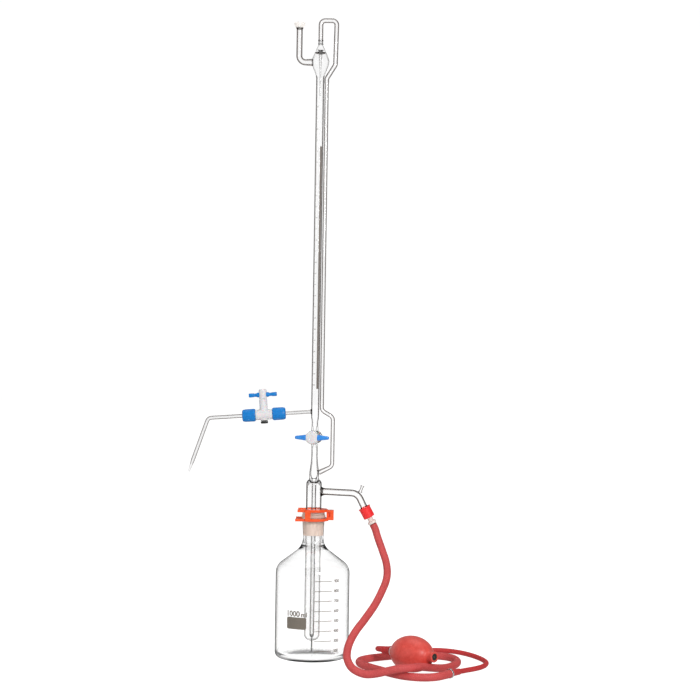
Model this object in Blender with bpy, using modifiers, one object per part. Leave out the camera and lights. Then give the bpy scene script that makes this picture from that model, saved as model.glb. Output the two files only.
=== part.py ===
"""Automatic burette on a 1000 ml reservoir bottle, as an assembly of separate pieces.

Metres, +Z up. The origin is the centre of the bottle's base, the burette stands on +Z, the dispensing
arm points to -X, the air side with its hose to +X, and -Y is the front.
"""

import math

import bmesh
import bpy
from mathutils import Quaternion, Vector

# ---- driving dimensions ----------------------------------------------------------------------------
GAP = 0.0003  # clearance kept between neighbouring pieces
GLASS_WALL = 0.0010

BOTTLE_RADIUS = 0.0505
BOTTLE_WALL = 0.0023
BOTTLE_FLOOR = 0.0040  # thickness of the base
HEEL_RADIUS = 0.0070
SHOULDER_Z = 0.1148  # where the straight side ends
SHOULDER_RADIUS = 0.0180
SHOULDER_TURN = math.radians(52.6)  # how far the shoulder turns before its straight slope
NECK_RADIUS = 0.0140
NECK_TOP_RADIUS = 0.0153
NECK_Z = 0.1623  # where the neck starts to flare into the shoulder
NECK_FLARE = 0.0220
INNER_FLARE = 0.0042
RIM_RADIUS = 0.0163
RIM_BOTTOM_Z = 0.1899
SOCKET_TOP_Z = 0.1936
SOCKET_BOTTOM_Z = 0.1548
CONE_RADIUS = 0.0130  # at the socket's top, narrowing by one in ten of its diameter
CONE_SLOPE = 0.05

CLIP_THICKNESS = 0.0036
CLIP_LOWER_Z = 0.1856
CLIP_UPPER_Z = 0.1979
CLIP_LOWER_RING = (0.0206, 0.0158)  # outer and inner radius
CLIP_UPPER_RING = (0.0194, 0.0111)
CLIP_LOWER_TIP = (-0.0246, 0.0184, 0.0142)  # end, outer and inner edge of each ring's two arms
CLIP_UPPER_TIP = (-0.0216, 0.0166, 0.0116)
CLIP_MOUTH = 125.0  # degrees from the spine to the end of each round arm
CLIP_STRUT_X = (-0.0112, -0.0036)
CLIP_STRUT_Y = (0.0172, 0.0196)
CLIP_SPINE_X = (0.0178, 0.0276)
CLIP_SPINE_HALF_WIDTH = 0.0062
CLIP_SPINE_INSET = 0.0012  # how far the spine's ends stay below and above the rings' faces

JACKET_RADIUS = 0.0106
JACKET_SHOULDER_Z = 0.2337
JACKET_TOP_Z = 0.2408
BEAD_RADIUS = 0.0152
BEAD_TOP_Z = 0.1975
GUARD_BOTTOM_Z = 0.0222
GUARD_END_RADIUS = 0.0085
GUARD_VENT_Z = 0.1380
INNER_RADIUS = 0.00305
INNER_TOP_Z = 0.2369
CAPILLARY_RADIUS = 0.00115
CAPILLARY_BORE = 0.0005
CAPILLARY_TOP_Z = 0.0258
CAPILLARY_BOTTOM_Z = 0.0068

DRAIN_Z = 0.2995  # height of the drain stopcock's axis
DRAIN_TURN = math.radians(11.0)  # its plug points to the front, turned this far to the left
BARREL_RADIUS = 0.0086
DRAIN_BORE = 0.0014

BURETTE_RADIUS = 0.0055
BURETTE_BOTTOM_Z = 0.3270
BURETTE_TOP_Z = 0.7925
BULB_TOP_Z = 0.8438
TOP_BULB_RADIUS = 0.0121
TOP_BULB_Z = 0.8180
TOP_NECK_RADIUS = 0.0033
JET_TIP_Z = 0.7700

RISER_X = 0.0091
RISER_RADIUS = 0.0028
RISER_BOTTOM_Z = 0.3600
RISER_TOP_Z = 0.7890
LOOP_RADIUS = 0.0032
LOOP_TOP_Z = 0.8742
LOOP_RIGHT_X = 0.0219
BYPASS_X = 0.0245
BYPASS_JOIN_Z = 0.2518
VENT_X = -0.0293
VENT_RADIUS = 0.0041
VENT_JOIN_Z = 0.8160
VENT_TOP_Z = 0.8705
VENT_RIM_RADIUS = 0.00775

OUTLET_Z = 0.3349  # where the outlet arm's axis meets the burette's
OUTLET_TILT = math.radians(4.3)  # it falls this much towards its stopcock
OUTLET_RADIUS = 0.0027
OUTLET_PLUG_AT = 0.0703  # distance of the plug from the burette, along the arm
JET_BEND_AT = 0.1470
JET_TAPER = (-0.1665, 0.0, 0.2666)
JET_TIP = (-0.1718, 0.0, 0.2504)
NUT_RADIUS = 0.0087
NUT_BORE = 0.00305
INNER_NUT = (0.0406, 0.0584)
OUTER_NUT = (0.0821, 0.0999)
SPIGOT_ENDS = (0.0470, 0.0935)
BODY_RADIUS = 0.0071
SPIGOT_RADIUS = 0.0062
THROUGH_BORE = 0.0012

SIDE_ARM_Z = 0.2253
SIDE_ARM_RADIUS = 0.0047
SIDE_ARM_CORNER = (0.0598, 0.0, 0.2236)
FINGER_VENT_ROOT = (0.0634, 0.0, 0.2254)
FINGER_VENT_DIRECTION = (0.342, 0.0, 0.940)
CAP_ORIGIN = (0.0692, 0.0, 0.2046)  # middle of the screw cap's open end
CAP_DIRECTION = (0.482, 0.0, -0.876)
CAP_RADIUS = 0.0080
CAP_LENGTH = 0.0154
NOZZLE_RADIUS = 0.0037
CONNECTOR_END = 0.0250

HOSE_RADIUS = 0.0051
TUBE_RADIUS = 0.0033
CLAMP_RADIUS = 0.0062
CLAMP_WIDTH = 0.0050
REDUCER_RADIUS = 0.0042
REDUCER_LENGTH = 0.0210
CORD_STEP = 0.0155  # distance between the points of the hose's centre line

HAND_BULB_AT = (0.1330, -0.0985, 0.0238)
HAND_BULB_DIRECTION = (0.680, -0.732, 0.045)
HAND_BULB_RADIUS = 0.0235
HAND_BULB_HALF_LENGTH = 0.0330
HAND_BULB_WALL = 0.0026
INLET_NECK_RADIUS = 0.0064
INLET_NECK_END = 0.0410
INLET_LIP_RADIUS = 0.0069
OUTLET_NECK_RADIUS = 0.0072
OUTLET_NECK_END = -0.0345
COLLAR_RADIUS = 0.0064
COLLAR_BORE = 0.0030
COLLAR_LENGTH = 0.0018
FITTING_RADII = (0.0066, 0.0044)  # at the collar and at the tube
FITTING_BORE = 0.0020
FITTING_RIBS = 3
OUTLET_FITTING_END = -0.0545
VALVE_RADIUS = 0.0042
VALVE_LENGTH = 0.0102
VALVE_MOUTH = 0.0012
INLET_VALVE_AT = 0.0300  # each valve's end towards the outlet, along the bulb's axis
OUTLET_VALVE_AT = -0.0342
BALL_IN_VALVE = 0.0068
BALL_RADIUS = 0.0018

# The hose leaves its connector, comes down to the table, lies in one loop over itself round the hand
# bulb, and ends in the clamp.
HOSE_ROUTE = [
    (0.0815, 0.0000, 0.1819), (0.0848, 0.0000, 0.1752), (0.0885, -0.0022, 0.1636),
    (0.0948, -0.0085, 0.1468), (0.0996, -0.0160, 0.1332), (0.1014, -0.0255, 0.1207),
    (0.0996, -0.0370, 0.1094), (0.0940, -0.0510, 0.0979), (0.0847, -0.0690, 0.0826),
    (0.0714, -0.0900, 0.0667), (0.0597, -0.1070, 0.0539), (0.0521, -0.1210, 0.0421),
    (0.0486, -0.1320, 0.0312), (0.0494, -0.1400, 0.0222), (0.0560, -0.1462, 0.0130),
    (0.0700, -0.1494, 0.0072), (0.0840, -0.1520, 0.0080), (0.1000, -0.1560, 0.0125),
    (0.1150, -0.1570, 0.0160), (0.1284, -0.1530, 0.0162), (0.1420, -0.1420, 0.0156),
    (0.1545, -0.1250, 0.0116), (0.1662, -0.1105, 0.0082), (0.1757, -0.0970, 0.0060),
    (0.1850, -0.0835, 0.0053), (0.1930, -0.0660, 0.0053), (0.1960, -0.0480, 0.0053),
    (0.1930, -0.0310, 0.0053), (0.1850, -0.0180, 0.0053), (0.1700, -0.0105, 0.0053),
    (0.1500, -0.0080, 0.0053), (0.1280, -0.0100, 0.0053), (0.1090, -0.0165, 0.0053),
    (0.0912, -0.0265, 0.0053), (0.0756, -0.0385, 0.0053), (0.0656, -0.0545, 0.0053),
    (0.0672, -0.0765, 0.0053), (0.0785, -0.0965, 0.0053), (0.0920, -0.1150, 0.0053),
    (0.1050, -0.1330, 0.0053), (0.1210, -0.1490, 0.0053), (0.1410, -0.1570, 0.0053),
    (0.1600, -0.1540, 0.0055), (0.1763, -0.1401, 0.0061), (0.1818, -0.1318, 0.0064),
]
# The thin tube leaves the hand bulb's outlet, rises over the hose and comes round to the reducer.
TUBE_ROUTE = [
    (0.0954, -0.0580, 0.0213), (0.0928, -0.0549, 0.0211), (0.0904, -0.0503, 0.0207),
    (0.0895, -0.0447, 0.0202), (0.0908, -0.0375, 0.0192), (0.0960, -0.0290, 0.0176),
    (0.1020, -0.0205, 0.0158),
    (0.1090, -0.0105, 0.0129), (0.1170, -0.0005, 0.0088), (0.1270, 0.0110, 0.0052),
    (0.1400, 0.0240, 0.0036), (0.1560, 0.0360, 0.0035), (0.1730, 0.0410, 0.0035),
    (0.1900, 0.0370, 0.0035), (0.2060, 0.0250, 0.0035), (0.2180, 0.0090, 0.0035),
    (0.2270, -0.0090, 0.0035), (0.2330, -0.0280, 0.0035), (0.2350, -0.0460, 0.0035),
    (0.2310, -0.0640, 0.0035), (0.2230, -0.0790, 0.0036), (0.2130, -0.0910, 0.0038),
    (0.2036, -0.1017, 0.0043), (0.1942, -0.1139, 0.0050),
]

# ---- steps round a turned piece --------------------------------------------------------------------
STEPS_LARGE = 32
STEPS_MEDIUM = 24
STEPS_SMALL = 16
STEPS_TINY = 12
ARC_STEPS = 4


# ---- materials -------------------------------------------------------------------------------------
def material(name, color, roughness, metallic=0.0, alpha=1.0):
    made = bpy.data.materials.new(name)
    made.use_nodes = True
    shader = made.node_tree.nodes["Principled BSDF"]
    shader.inputs["Base Color"].default_value = (*color, 1.0)
    shader.inputs["Roughness"].default_value = roughness
    shader.inputs["Metallic"].default_value = metallic
    shader.inputs["Alpha"].default_value = alpha
    return made


def glass(name):
    return material(name + "_glass", (0.90, 0.93, 0.93), 0.05, alpha=0.35)


def ptfe(name):
    return material(name + "_ptfe", (0.86, 0.85, 0.84), 0.45)


def blue_plastic(name):
    return material(name + "_blue", (0.01, 0.20, 0.70), 0.35)


def black_rubber(name):
    return material(name + "_black", (0.03, 0.03, 0.03), 0.6)


def red_rubber(name):
    return material(name + "_red_rubber", (0.62, 0.07, 0.07), 0.6)


# ---- outlines --------------------------------------------------------------------------------------
def arc(center, radius, start_deg, end_deg, steps=ARC_STEPS):
    """Points on an arc in the (radius, height) plane, both ends included."""
    points = []
    for i in range(steps + 1):
        angle = math.radians(start_deg + (end_deg - start_deg) * i / steps)
        points.append((center[0] + radius * math.cos(angle), center[1] + radius * math.sin(angle)))
    return points


def ring_outline(outer, inner, top, bottom):
    return [(outer, top), (outer, bottom), (inner, bottom), (inner, top)]


def rod_outline(radius, top, bottom, chamfer=0.0):
    """A solid rod's outline, from its axis at the top to its axis at the bottom."""
    if not chamfer:
        return [(0.0, top), (radius, top), (radius, bottom), (0.0, bottom)]
    return [
        (0.0, top), (radius - chamfer, top), (radius, top - chamfer),
        (radius, bottom + chamfer), (radius - chamfer, bottom), (0.0, bottom),
    ]


def rounded_path(corners, radius, steps=ARC_STEPS):
    """A path through corners, with each inner corner replaced by an arc of this radius."""
    corners = [Vector(c) for c in corners]
    path = [corners[0]]
    for before, corner, after in zip(corners, corners[1:], corners[2:]):
        into = (corner - before).normalized()
        out = (after - corner).normalized()
        turn = into.angle(out)
        if turn < math.radians(1.0):
            path.append(corner)
            continue
        reach = radius * math.tan(turn / 2)
        center = corner + (out - into).normalized() * (radius / math.cos(turn / 2))
        spoke = corner - into * reach - center
        axis = into.cross(out).normalized()
        for i in range(steps + 1):
            path.append(center + Quaternion(axis, turn * i / steps) @ spoke)
    path.append(corners[-1])
    return path


def smooth_path(points, step):
    """Points about one step apart on the smooth curve (Catmull-Rom) through these points."""
    points = [Vector(p) for p in points]
    ends = [2 * points[0] - points[1], *points, 2 * points[-1] - points[-2]]
    fine = []
    for a, b, c, d in zip(ends, ends[1:], ends[2:], ends[3:]):
        for i in range(10):
            t = i / 10
            fine.append(
                b
                + (c - a) * (t / 2)
                + (2 * a - 5 * b + 4 * c - d) * (t * t / 2)
                + (3 * b - a - 3 * c + d) * (t * t * t / 2)
            )
    fine.append(points[-1])
    lengths = [(q - p).length for p, q in zip(fine, fine[1:])]
    total = sum(lengths)
    count = round(total / step)
    path = [fine[0]]
    run = 0.0
    for p, q, length in zip(fine, fine[1:], lengths):
        while len(path) < count and run + length >= total * len(path) / count:
            path.append(p.lerp(q, (total * len(path) / count - run) / length))
        run += length
    path.append(fine[-1])
    return path


# ---- objects ---------------------------------------------------------------------------------------
def clear_scene():
    for obj in list(bpy.data.objects):
        bpy.data.objects.remove(obj, do_unlink=True)


def collection(name):
    made = bpy.data.collections.new(name)
    bpy.context.scene.collection.children.link(made)
    return made


def axis_frame(name, origin, direction):
    """An empty at a joint, with its Z along the joint's axis. The pieces on that axis are its children."""
    empty = bpy.data.objects.new(name, None)
    empty.empty_display_size = 0.02
    empty.location = origin
    empty.rotation_euler = Vector(direction).to_track_quat("Z", "Y").to_euler()
    PARTS.objects.link(empty)
    return empty


def add_mesh(name, mesh, finish, parent=None, to=None):
    obj = bpy.data.objects.new(name, mesh)
    (to or PARTS).objects.link(obj)
    if finish:
        mesh.materials.append(finish)
    obj.parent = parent
    return obj


def turned(name, outline, steps, finish, parent=None, closed=True, to=None):
    """A piece turned about its Z. A closed outline makes a ring, an open one starts and ends on the axis."""
    mesh = bpy.data.meshes.new(name)
    edges = [(i, i + 1) for i in range(len(outline) - 1)]
    if closed:
        edges.append((len(outline) - 1, 0))
    mesh.from_pydata([(r, 0.0, z) for r, z in outline], edges, [])
    obj = add_mesh(name, mesh, finish, parent, to)
    screw = obj.modifiers.new("turn", "SCREW")
    screw.axis = "Z"
    screw.angle = 2 * math.pi
    screw.steps = steps
    screw.render_steps = steps
    screw.use_merge_vertices = True
    screw.merge_threshold = 0.00001
    screw.use_smooth_shade = True
    return obj


def tube_curve(name, path, radius, finish, sides_resolution, widths=None, caps=True, parent=None):
    curve = bpy.data.curves.new(name, "CURVE")
    curve.dimensions = "3D"
    curve.bevel_depth = radius
    curve.bevel_resolution = sides_resolution
    curve.use_fill_caps = caps
    spline = curve.splines.new("POLY")
    spline.points.add(len(path) - 1)
    for i, point in enumerate(path):
        spline.points[i].co = (*point, 1.0)
        spline.points[i].radius = widths[i] if widths else 1.0
    spline.use_smooth = True
    curve.materials.append(finish)
    obj = bpy.data.objects.new(name, curve)
    PARTS.objects.link(obj)
    obj.parent = parent
    return obj


def glass_tube(name, path, radius, wall=GLASS_WALL, widths=None, resolution=2):
    """A hollow tube along a path: the open outer surface, thickened inwards."""
    obj = tube_curve(name, path, radius, glass(name), resolution, widths, caps=False)
    shell = obj.modifiers.new("wall", "SOLIDIFY")
    shell.thickness = wall
    shell.offset = -1.0
    shell.use_even_offset = True
    return obj


def meshed(obj):
    """The curve object made a mesh object of the same name and place, so that it can be cut."""
    bpy.context.view_layer.update()
    evaluated = obj.evaluated_get(bpy.context.evaluated_depsgraph_get())
    mesh = bpy.data.meshes.new_from_object(evaluated)
    work = bmesh.new()
    work.from_mesh(mesh)
    bmesh.ops.remove_doubles(work, verts=work.verts, dist=0.000001)
    work.to_mesh(mesh)
    work.free()
    name = obj.name
    matrix = obj.matrix_world.copy()
    bpy.data.objects.remove(obj, do_unlink=True)
    made = bpy.data.objects.new(name, mesh)
    PARTS.objects.link(made)
    made.matrix_world = matrix
    return made


def helper(obj):
    """Marks an object as a guide for a Boolean, which is no piece itself."""
    obj.hide_render = True
    obj.display_type = "WIRE"
    return obj


def combine(obj, other, operation):
    step = obj.modifiers.new(operation.lower(), "BOOLEAN")
    step.operation = operation
    step.solver = "EXACT"
    step.object = other


def rod_helper(name, start, direction, length, radius, parent=None, steps=STEPS_SMALL):
    """A plain cylinder from start along direction, for joining to a piece or cutting from it."""
    outline = rod_outline(radius, length, 0.0)
    made = helper(turned(name, outline, steps, None, parent, closed=False, to=CUTTERS))
    made.location = start
    made.rotation_euler = Vector(direction).to_track_quat("Z", "Y").to_euler()
    return made


def drill(obj, name, start, direction, length, radius, parent=None):
    combine(obj, rod_helper(name, start, direction, length, radius, parent), "DIFFERENCE")


# ---- the reservoir ---------------------------------------------------------------------------------
def shoulder(radius, z_low, corner, neck, flare, z_neck):
    """The shoulder's outline from the neck down to the side: flare, straight slope, rounded corner."""
    turn = math.degrees(SHOULDER_TURN)
    flare_arc = arc((neck + flare, z_neck), flare, 180.0, 180.0 + turn)
    corner_arc = arc((radius - corner, z_low), corner, turn, 0.0)
    return flare_arc + corner_arc


def reservoir():
    inner_radius = BOTTLE_RADIUS - BOTTLE_WALL
    inner_heel = HEEL_RADIUS - BOTTLE_WALL + 0.002
    socket_bottom = CONE_RADIUS + GAP - CONE_SLOPE * (SOCKET_TOP_Z - SOCKET_BOTTOM_Z)
    inside = [(0.0, BOTTLE_FLOOR)]
    inside += arc((inner_radius - inner_heel, BOTTLE_FLOOR + inner_heel), inner_heel, 270.0, 360.0)
    inner_shoulder = shoulder(
        inner_radius, SHOULDER_Z, SHOULDER_RADIUS - BOTTLE_WALL,
        socket_bottom, INNER_FLARE, SOCKET_BOTTOM_Z,
    )
    inside += reversed(inner_shoulder)
    inside.append((CONE_RADIUS + GAP, SOCKET_TOP_Z))
    outside = [(RIM_RADIUS, SOCKET_TOP_Z), (RIM_RADIUS, RIM_BOTTOM_Z), (NECK_TOP_RADIUS, RIM_BOTTOM_Z)]
    outside += shoulder(BOTTLE_RADIUS, SHOULDER_Z, SHOULDER_RADIUS, NECK_RADIUS, NECK_FLARE, NECK_Z)
    outside += arc((BOTTLE_RADIUS - HEEL_RADIUS, HEEL_RADIUS), HEEL_RADIUS, 0.0, -90.0)
    outside += [(0.0, 0.0)]
    turned(
        "reservoir_bottle", inside + outside, STEPS_LARGE, glass("reservoir"), closed=False
    )


def clip_ring(name, radii, tip, bottom):
    """One of the clip's two open rings, flat, with its mouth and straight tips towards -X."""
    outer, inner = radii
    outline = arc((0.0, 0.0), outer, -CLIP_MOUTH, CLIP_MOUTH, 20)
    outline += [(tip[0], tip[1]), (tip[0], tip[2])]
    outline += arc((0.0, 0.0), inner, CLIP_MOUTH, -CLIP_MOUTH, 20)
    outline += [(tip[0], -tip[2]), (tip[0], -tip[1])]
    curve = bpy.data.curves.new(name, "CURVE")
    curve.dimensions = "2D"
    curve.fill_mode = "BOTH"
    curve.extrude = CLIP_THICKNESS / 2
    spline = curve.splines.new("POLY")
    spline.points.add(len(outline) - 1)
    for i, (x, y) in enumerate(outline):
        spline.points[i].co = (x, y, 0.0, 1.0)
    spline.use_cyclic_u = True
    obj = bpy.data.objects.new(name, curve)
    PARTS.objects.link(obj)
    obj.location = (0.0, 0.0, bottom + CLIP_THICKNESS / 2)
    return meshed(obj)


def block(name, low, high, to):
    bpy.ops.mesh.primitive_cube_add(size=1.0)
    obj = bpy.context.object
    obj.name = name
    for owner in list(obj.users_collection):
        owner.objects.unlink(obj)
    to.objects.link(obj)
    low, high = Vector(low), Vector(high)
    for vertex in obj.data.vertices:
        vertex.co = (low + high) / 2 + Vector(c * s for c, s in zip(vertex.co, high - low))
    return obj


def joint_clip():
    """The orange clip: two open rings joined by a strut on each side and a spine at the closed end."""
    clip = clip_ring("joint_clip", CLIP_LOWER_RING, CLIP_LOWER_TIP, CLIP_LOWER_Z)
    clip.data.materials.append(material("clip_orange", (0.90, 0.13, 0.02), 0.35))
    upper = clip_ring("upper_ring", CLIP_UPPER_RING, CLIP_UPPER_TIP, CLIP_UPPER_Z)
    PARTS.objects.unlink(upper)
    CUTTERS.objects.link(upper)
    combine(clip, helper(upper), "UNION")
    bottom = CLIP_LOWER_Z + CLIP_SPINE_INSET
    top = CLIP_UPPER_Z + CLIP_THICKNESS - CLIP_SPINE_INSET
    near, far = CLIP_STRUT_Y
    for name, y_low, y_high in (("front_strut", -far, -near), ("back_strut", near, far)):
        low, high = (CLIP_STRUT_X[0], y_low, bottom), (CLIP_STRUT_X[1], y_high, top)
        combine(clip, helper(block(name, low, high, CUTTERS)), "UNION")
    low = (CLIP_SPINE_X[0], -CLIP_SPINE_HALF_WIDTH, bottom)
    high = (CLIP_SPINE_X[1], CLIP_SPINE_HALF_WIDTH, top)
    combine(clip, helper(block("spine", low, high, CUTTERS)), "UNION")


# ---- the glass head --------------------------------------------------------------------------------
def ground_cone():
    """The cone that sits in the bottle's socket, the bead that the clip holds, and the air jacket."""
    cone_bottom = CONE_RADIUS - CONE_SLOPE * (SOCKET_TOP_Z - SOCKET_BOTTOM_Z)
    inner = JACKET_RADIUS - GLASS_WALL - 0.0001
    outline = [(0.0064, JACKET_TOP_Z), (0.0085, JACKET_TOP_Z - 0.0012)]
    outline += [(0.0100, JACKET_TOP_Z - 0.0036), (JACKET_RADIUS, JACKET_SHOULDER_Z)]
    outline += [(JACKET_RADIUS, BEAD_TOP_Z + 0.0007), (JACKET_RADIUS + 0.0004, BEAD_TOP_Z)]
    outline += [(BEAD_RADIUS, BEAD_TOP_Z), (BEAD_RADIUS, SOCKET_TOP_Z + GAP)]
    outline += [(CONE_RADIUS, SOCKET_TOP_Z + GAP), (cone_bottom, SOCKET_BOTTOM_Z)]
    outline += [(inner, SOCKET_BOTTOM_Z), (inner, JACKET_SHOULDER_Z - 0.001), (0.0080, INNER_TOP_Z + GAP)]
    outline += [(0.0020, INNER_TOP_Z + 2 * GAP), (0.0020, JACKET_TOP_Z)]
    cone = turned("ground_cone", outline, STEPS_MEDIUM, glass("cone"))
    drill(cone, "air_port", (0.0060, 0.0, SIDE_ARM_Z), (1, 0, 0), 0.0080, 0.0036)


def dip_tubes():
    """The guard tube, the inner tube in it and the capillary that reaches the bottle's floor."""
    wall = GLASS_WALL + 0.0001
    inner = JACKET_RADIUS - wall
    end_z = GUARD_BOTTOM_Z + GUARD_END_RADIUS
    hole = CAPILLARY_RADIUS + 0.00035
    outline = [(JACKET_RADIUS, SOCKET_BOTTOM_Z - GAP)]
    outline += arc((JACKET_RADIUS - GUARD_END_RADIUS, end_z), GUARD_END_RADIUS, 0.0, -90.0)
    outline += [(hole, GUARD_BOTTOM_Z), (hole, GUARD_BOTTOM_Z + wall)]
    outline += arc((JACKET_RADIUS - GUARD_END_RADIUS, end_z), GUARD_END_RADIUS - wall, -90.0, 0.0)
    outline += [(inner, SOCKET_BOTTOM_Z - GAP)]
    guard = turned("guard_tube", outline, STEPS_MEDIUM, glass("guard"))
    drill(guard, "guard_vent", (0.0, 0.0060, GUARD_VENT_Z), (0, 1, 0), 0.0080, 0.0016)
    inner_tube = ring_outline(INNER_RADIUS, INNER_RADIUS - GLASS_WALL, INNER_TOP_Z, CAPILLARY_TOP_Z + GAP)
    turned("inner_tube", inner_tube, STEPS_SMALL, glass("inner_tube"))
    capillary = ring_outline(CAPILLARY_RADIUS, CAPILLARY_BORE, CAPILLARY_TOP_Z, CAPILLARY_BOTTOM_Z)
    turned("dip_capillary", capillary, STEPS_TINY, glass("capillary"))


def stem_tubes():
    """The straight glass on the axis, from the jacket up to the top bulb."""
    feed_top = DRAIN_Z - BARREL_RADIUS - GAP
    feed_bottom = JACKET_TOP_Z + GAP
    feed_outer = [(0.0050, feed_top), (0.0043, feed_top - 0.0056), (0.0043, feed_bottom + 0.0320)]
    feed_outer += [(0.0052, feed_bottom + 0.0210), (0.0065, feed_bottom + 0.0110), (0.0067, feed_bottom)]
    feed_inner = [(0.0020, feed_bottom), (0.0050, feed_bottom + 0.0090), (0.0029, feed_bottom + 0.0290)]
    feed_inner += [(0.0029, feed_top - 0.0056), (0.0015, feed_top)]
    feed = turned("feed_tube", feed_outer + feed_inner, STEPS_SMALL, glass("feed"))
    drill(feed, "bypass_port", (0.0030, 0.0, BYPASS_JOIN_Z), (1, 0, 0), 0.0080, 0.0018)

    lower_bottom = DRAIN_Z + BARREL_RADIUS + GAP
    lower_top = BURETTE_BOTTOM_Z - GAP
    lower_outer = [(0.0054, lower_top), (0.0044, lower_top - 0.0050), (0.0044, lower_bottom + 0.0080)]
    lower_outer += [(0.0050, lower_bottom)]
    lower_inner = [(0.0015, lower_bottom), (0.0030, lower_bottom + 0.0080)]
    lower_inner += [(0.0032, lower_top - 0.0050), (0.0044, lower_top)]
    turned("lower_tube", lower_outer + lower_inner, STEPS_SMALL, glass("lower_tube"))

    bore = BURETTE_RADIUS - GLASS_WALL + 0.00005
    tube = turned(
        "burette_tube",
        ring_outline(BURETTE_RADIUS, bore, BURETTE_TOP_Z, BURETTE_BOTTOM_Z),
        STEPS_SMALL,
        glass("burette"),
    )
    start = Vector((0.0, 0.0, OUTLET_Z)) + outlet_direction() * 0.0030
    drill(tube, "outlet_port", start, outlet_direction(), 0.0060, 0.0015)

    outline = []
    steps = 6
    for i in range(steps + 1):
        share = i / steps
        z = TOP_BULB_Z - (TOP_BULB_Z - BURETTE_TOP_Z - GAP) * share
        swell = 0.5 + 0.5 * math.cos(math.pi * share)
        outline.append((BURETTE_RADIUS + (TOP_BULB_RADIUS - BURETTE_RADIUS) * swell, z))
    neck_z = BULB_TOP_Z - 0.0036
    cone_top = [(TOP_NECK_RADIUS, BULB_TOP_Z), (TOP_NECK_RADIUS, neck_z), (0.0109, TOP_BULB_Z + 0.0045)]
    outer = cone_top + outline
    neck_bore = TOP_NECK_RADIUS - 0.0005
    inner = [(r - GLASS_WALL, z) for r, z in reversed(outline)]
    inner += [(0.0097, TOP_BULB_Z + 0.0042), (neck_bore, neck_z - 0.0014), (neck_bore, BULB_TOP_Z)]
    bulb = turned("top_bulb", outer + inner, STEPS_MEDIUM, glass("top_bulb"))
    drill(bulb, "vent_port", (-0.0080, 0.0, VENT_JOIN_Z), (-1, 0, 0), 0.0080, 0.0028)

    jet_top, jet_shoulder, jet_neck = BULB_TOP_Z - GAP, BULB_TOP_Z - 0.0170, BULB_TOP_Z - 0.0370
    jet_outer = [(0.0024, jet_top), (0.0024, jet_shoulder), (0.0010, jet_neck), (0.0009, JET_TIP_Z)]
    jet_inner = [(0.0005, JET_TIP_Z), (0.0005, jet_neck), (0.0014, jet_shoulder), (0.0014, jet_top)]
    turned("filling_jet", jet_outer + jet_inner, STEPS_TINY, glass("jet"))


def filling_tubes():
    """The loop over the top, the long riser and the bypass round the drain stopcock."""
    loop_start = BULB_TOP_Z + GAP
    loop = rounded_path(
        [
            (0.0, 0.0, loop_start), (0.0, 0.0, LOOP_TOP_Z), (LOOP_RIGHT_X, 0.0, LOOP_TOP_Z),
            (LOOP_RIGHT_X - 0.0012, 0.0, RISER_TOP_Z + 0.0240), (RISER_X, 0.0, RISER_TOP_Z + 0.0050),
            (RISER_X, 0.0, RISER_TOP_Z),
        ],
        0.0050,
    )
    glass_tube("overflow_loop", loop, LOOP_RADIUS)
    riser = [(RISER_X, 0.0, RISER_TOP_Z - GAP), (RISER_X, 0.0, RISER_BOTTOM_Z)]
    glass_tube("riser_tube", riser, RISER_RADIUS)
    bypass = rounded_path(
        [
            (RISER_X, 0.0, RISER_BOTTOM_Z - GAP), (RISER_X, 0.0, 0.3365), (BYPASS_X, 0.0, 0.3275),
            (BYPASS_X, 0.0, 0.2600), (0.0076, 0.0, BYPASS_JOIN_Z),
        ],
        0.0075,
    )
    glass_tube("bypass_tube", bypass, RISER_RADIUS)


def vent_tube():
    """The J-shaped vent at the top, with its flared rim for a drying tube."""
    rim = VENT_RIM_RADIUS / VENT_RADIUS
    straight = [(VENT_X, 0.0, VENT_TOP_Z - drop) for drop in (0.0, 0.0031, 0.0048, 0.0073)]
    bend = rounded_path(
        [straight[-1], (VENT_X, 0.0, VENT_JOIN_Z), (-TOP_BULB_RADIUS - GAP, 0.0, VENT_JOIN_Z)], 0.0137, 6
    )
    path = straight[:-1] + bend
    widths = [rim, rim * 0.98, 1.3] + [1.0] * len(bend)
    glass_tube("vent_tube", path, VENT_RADIUS, widths=widths)


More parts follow.
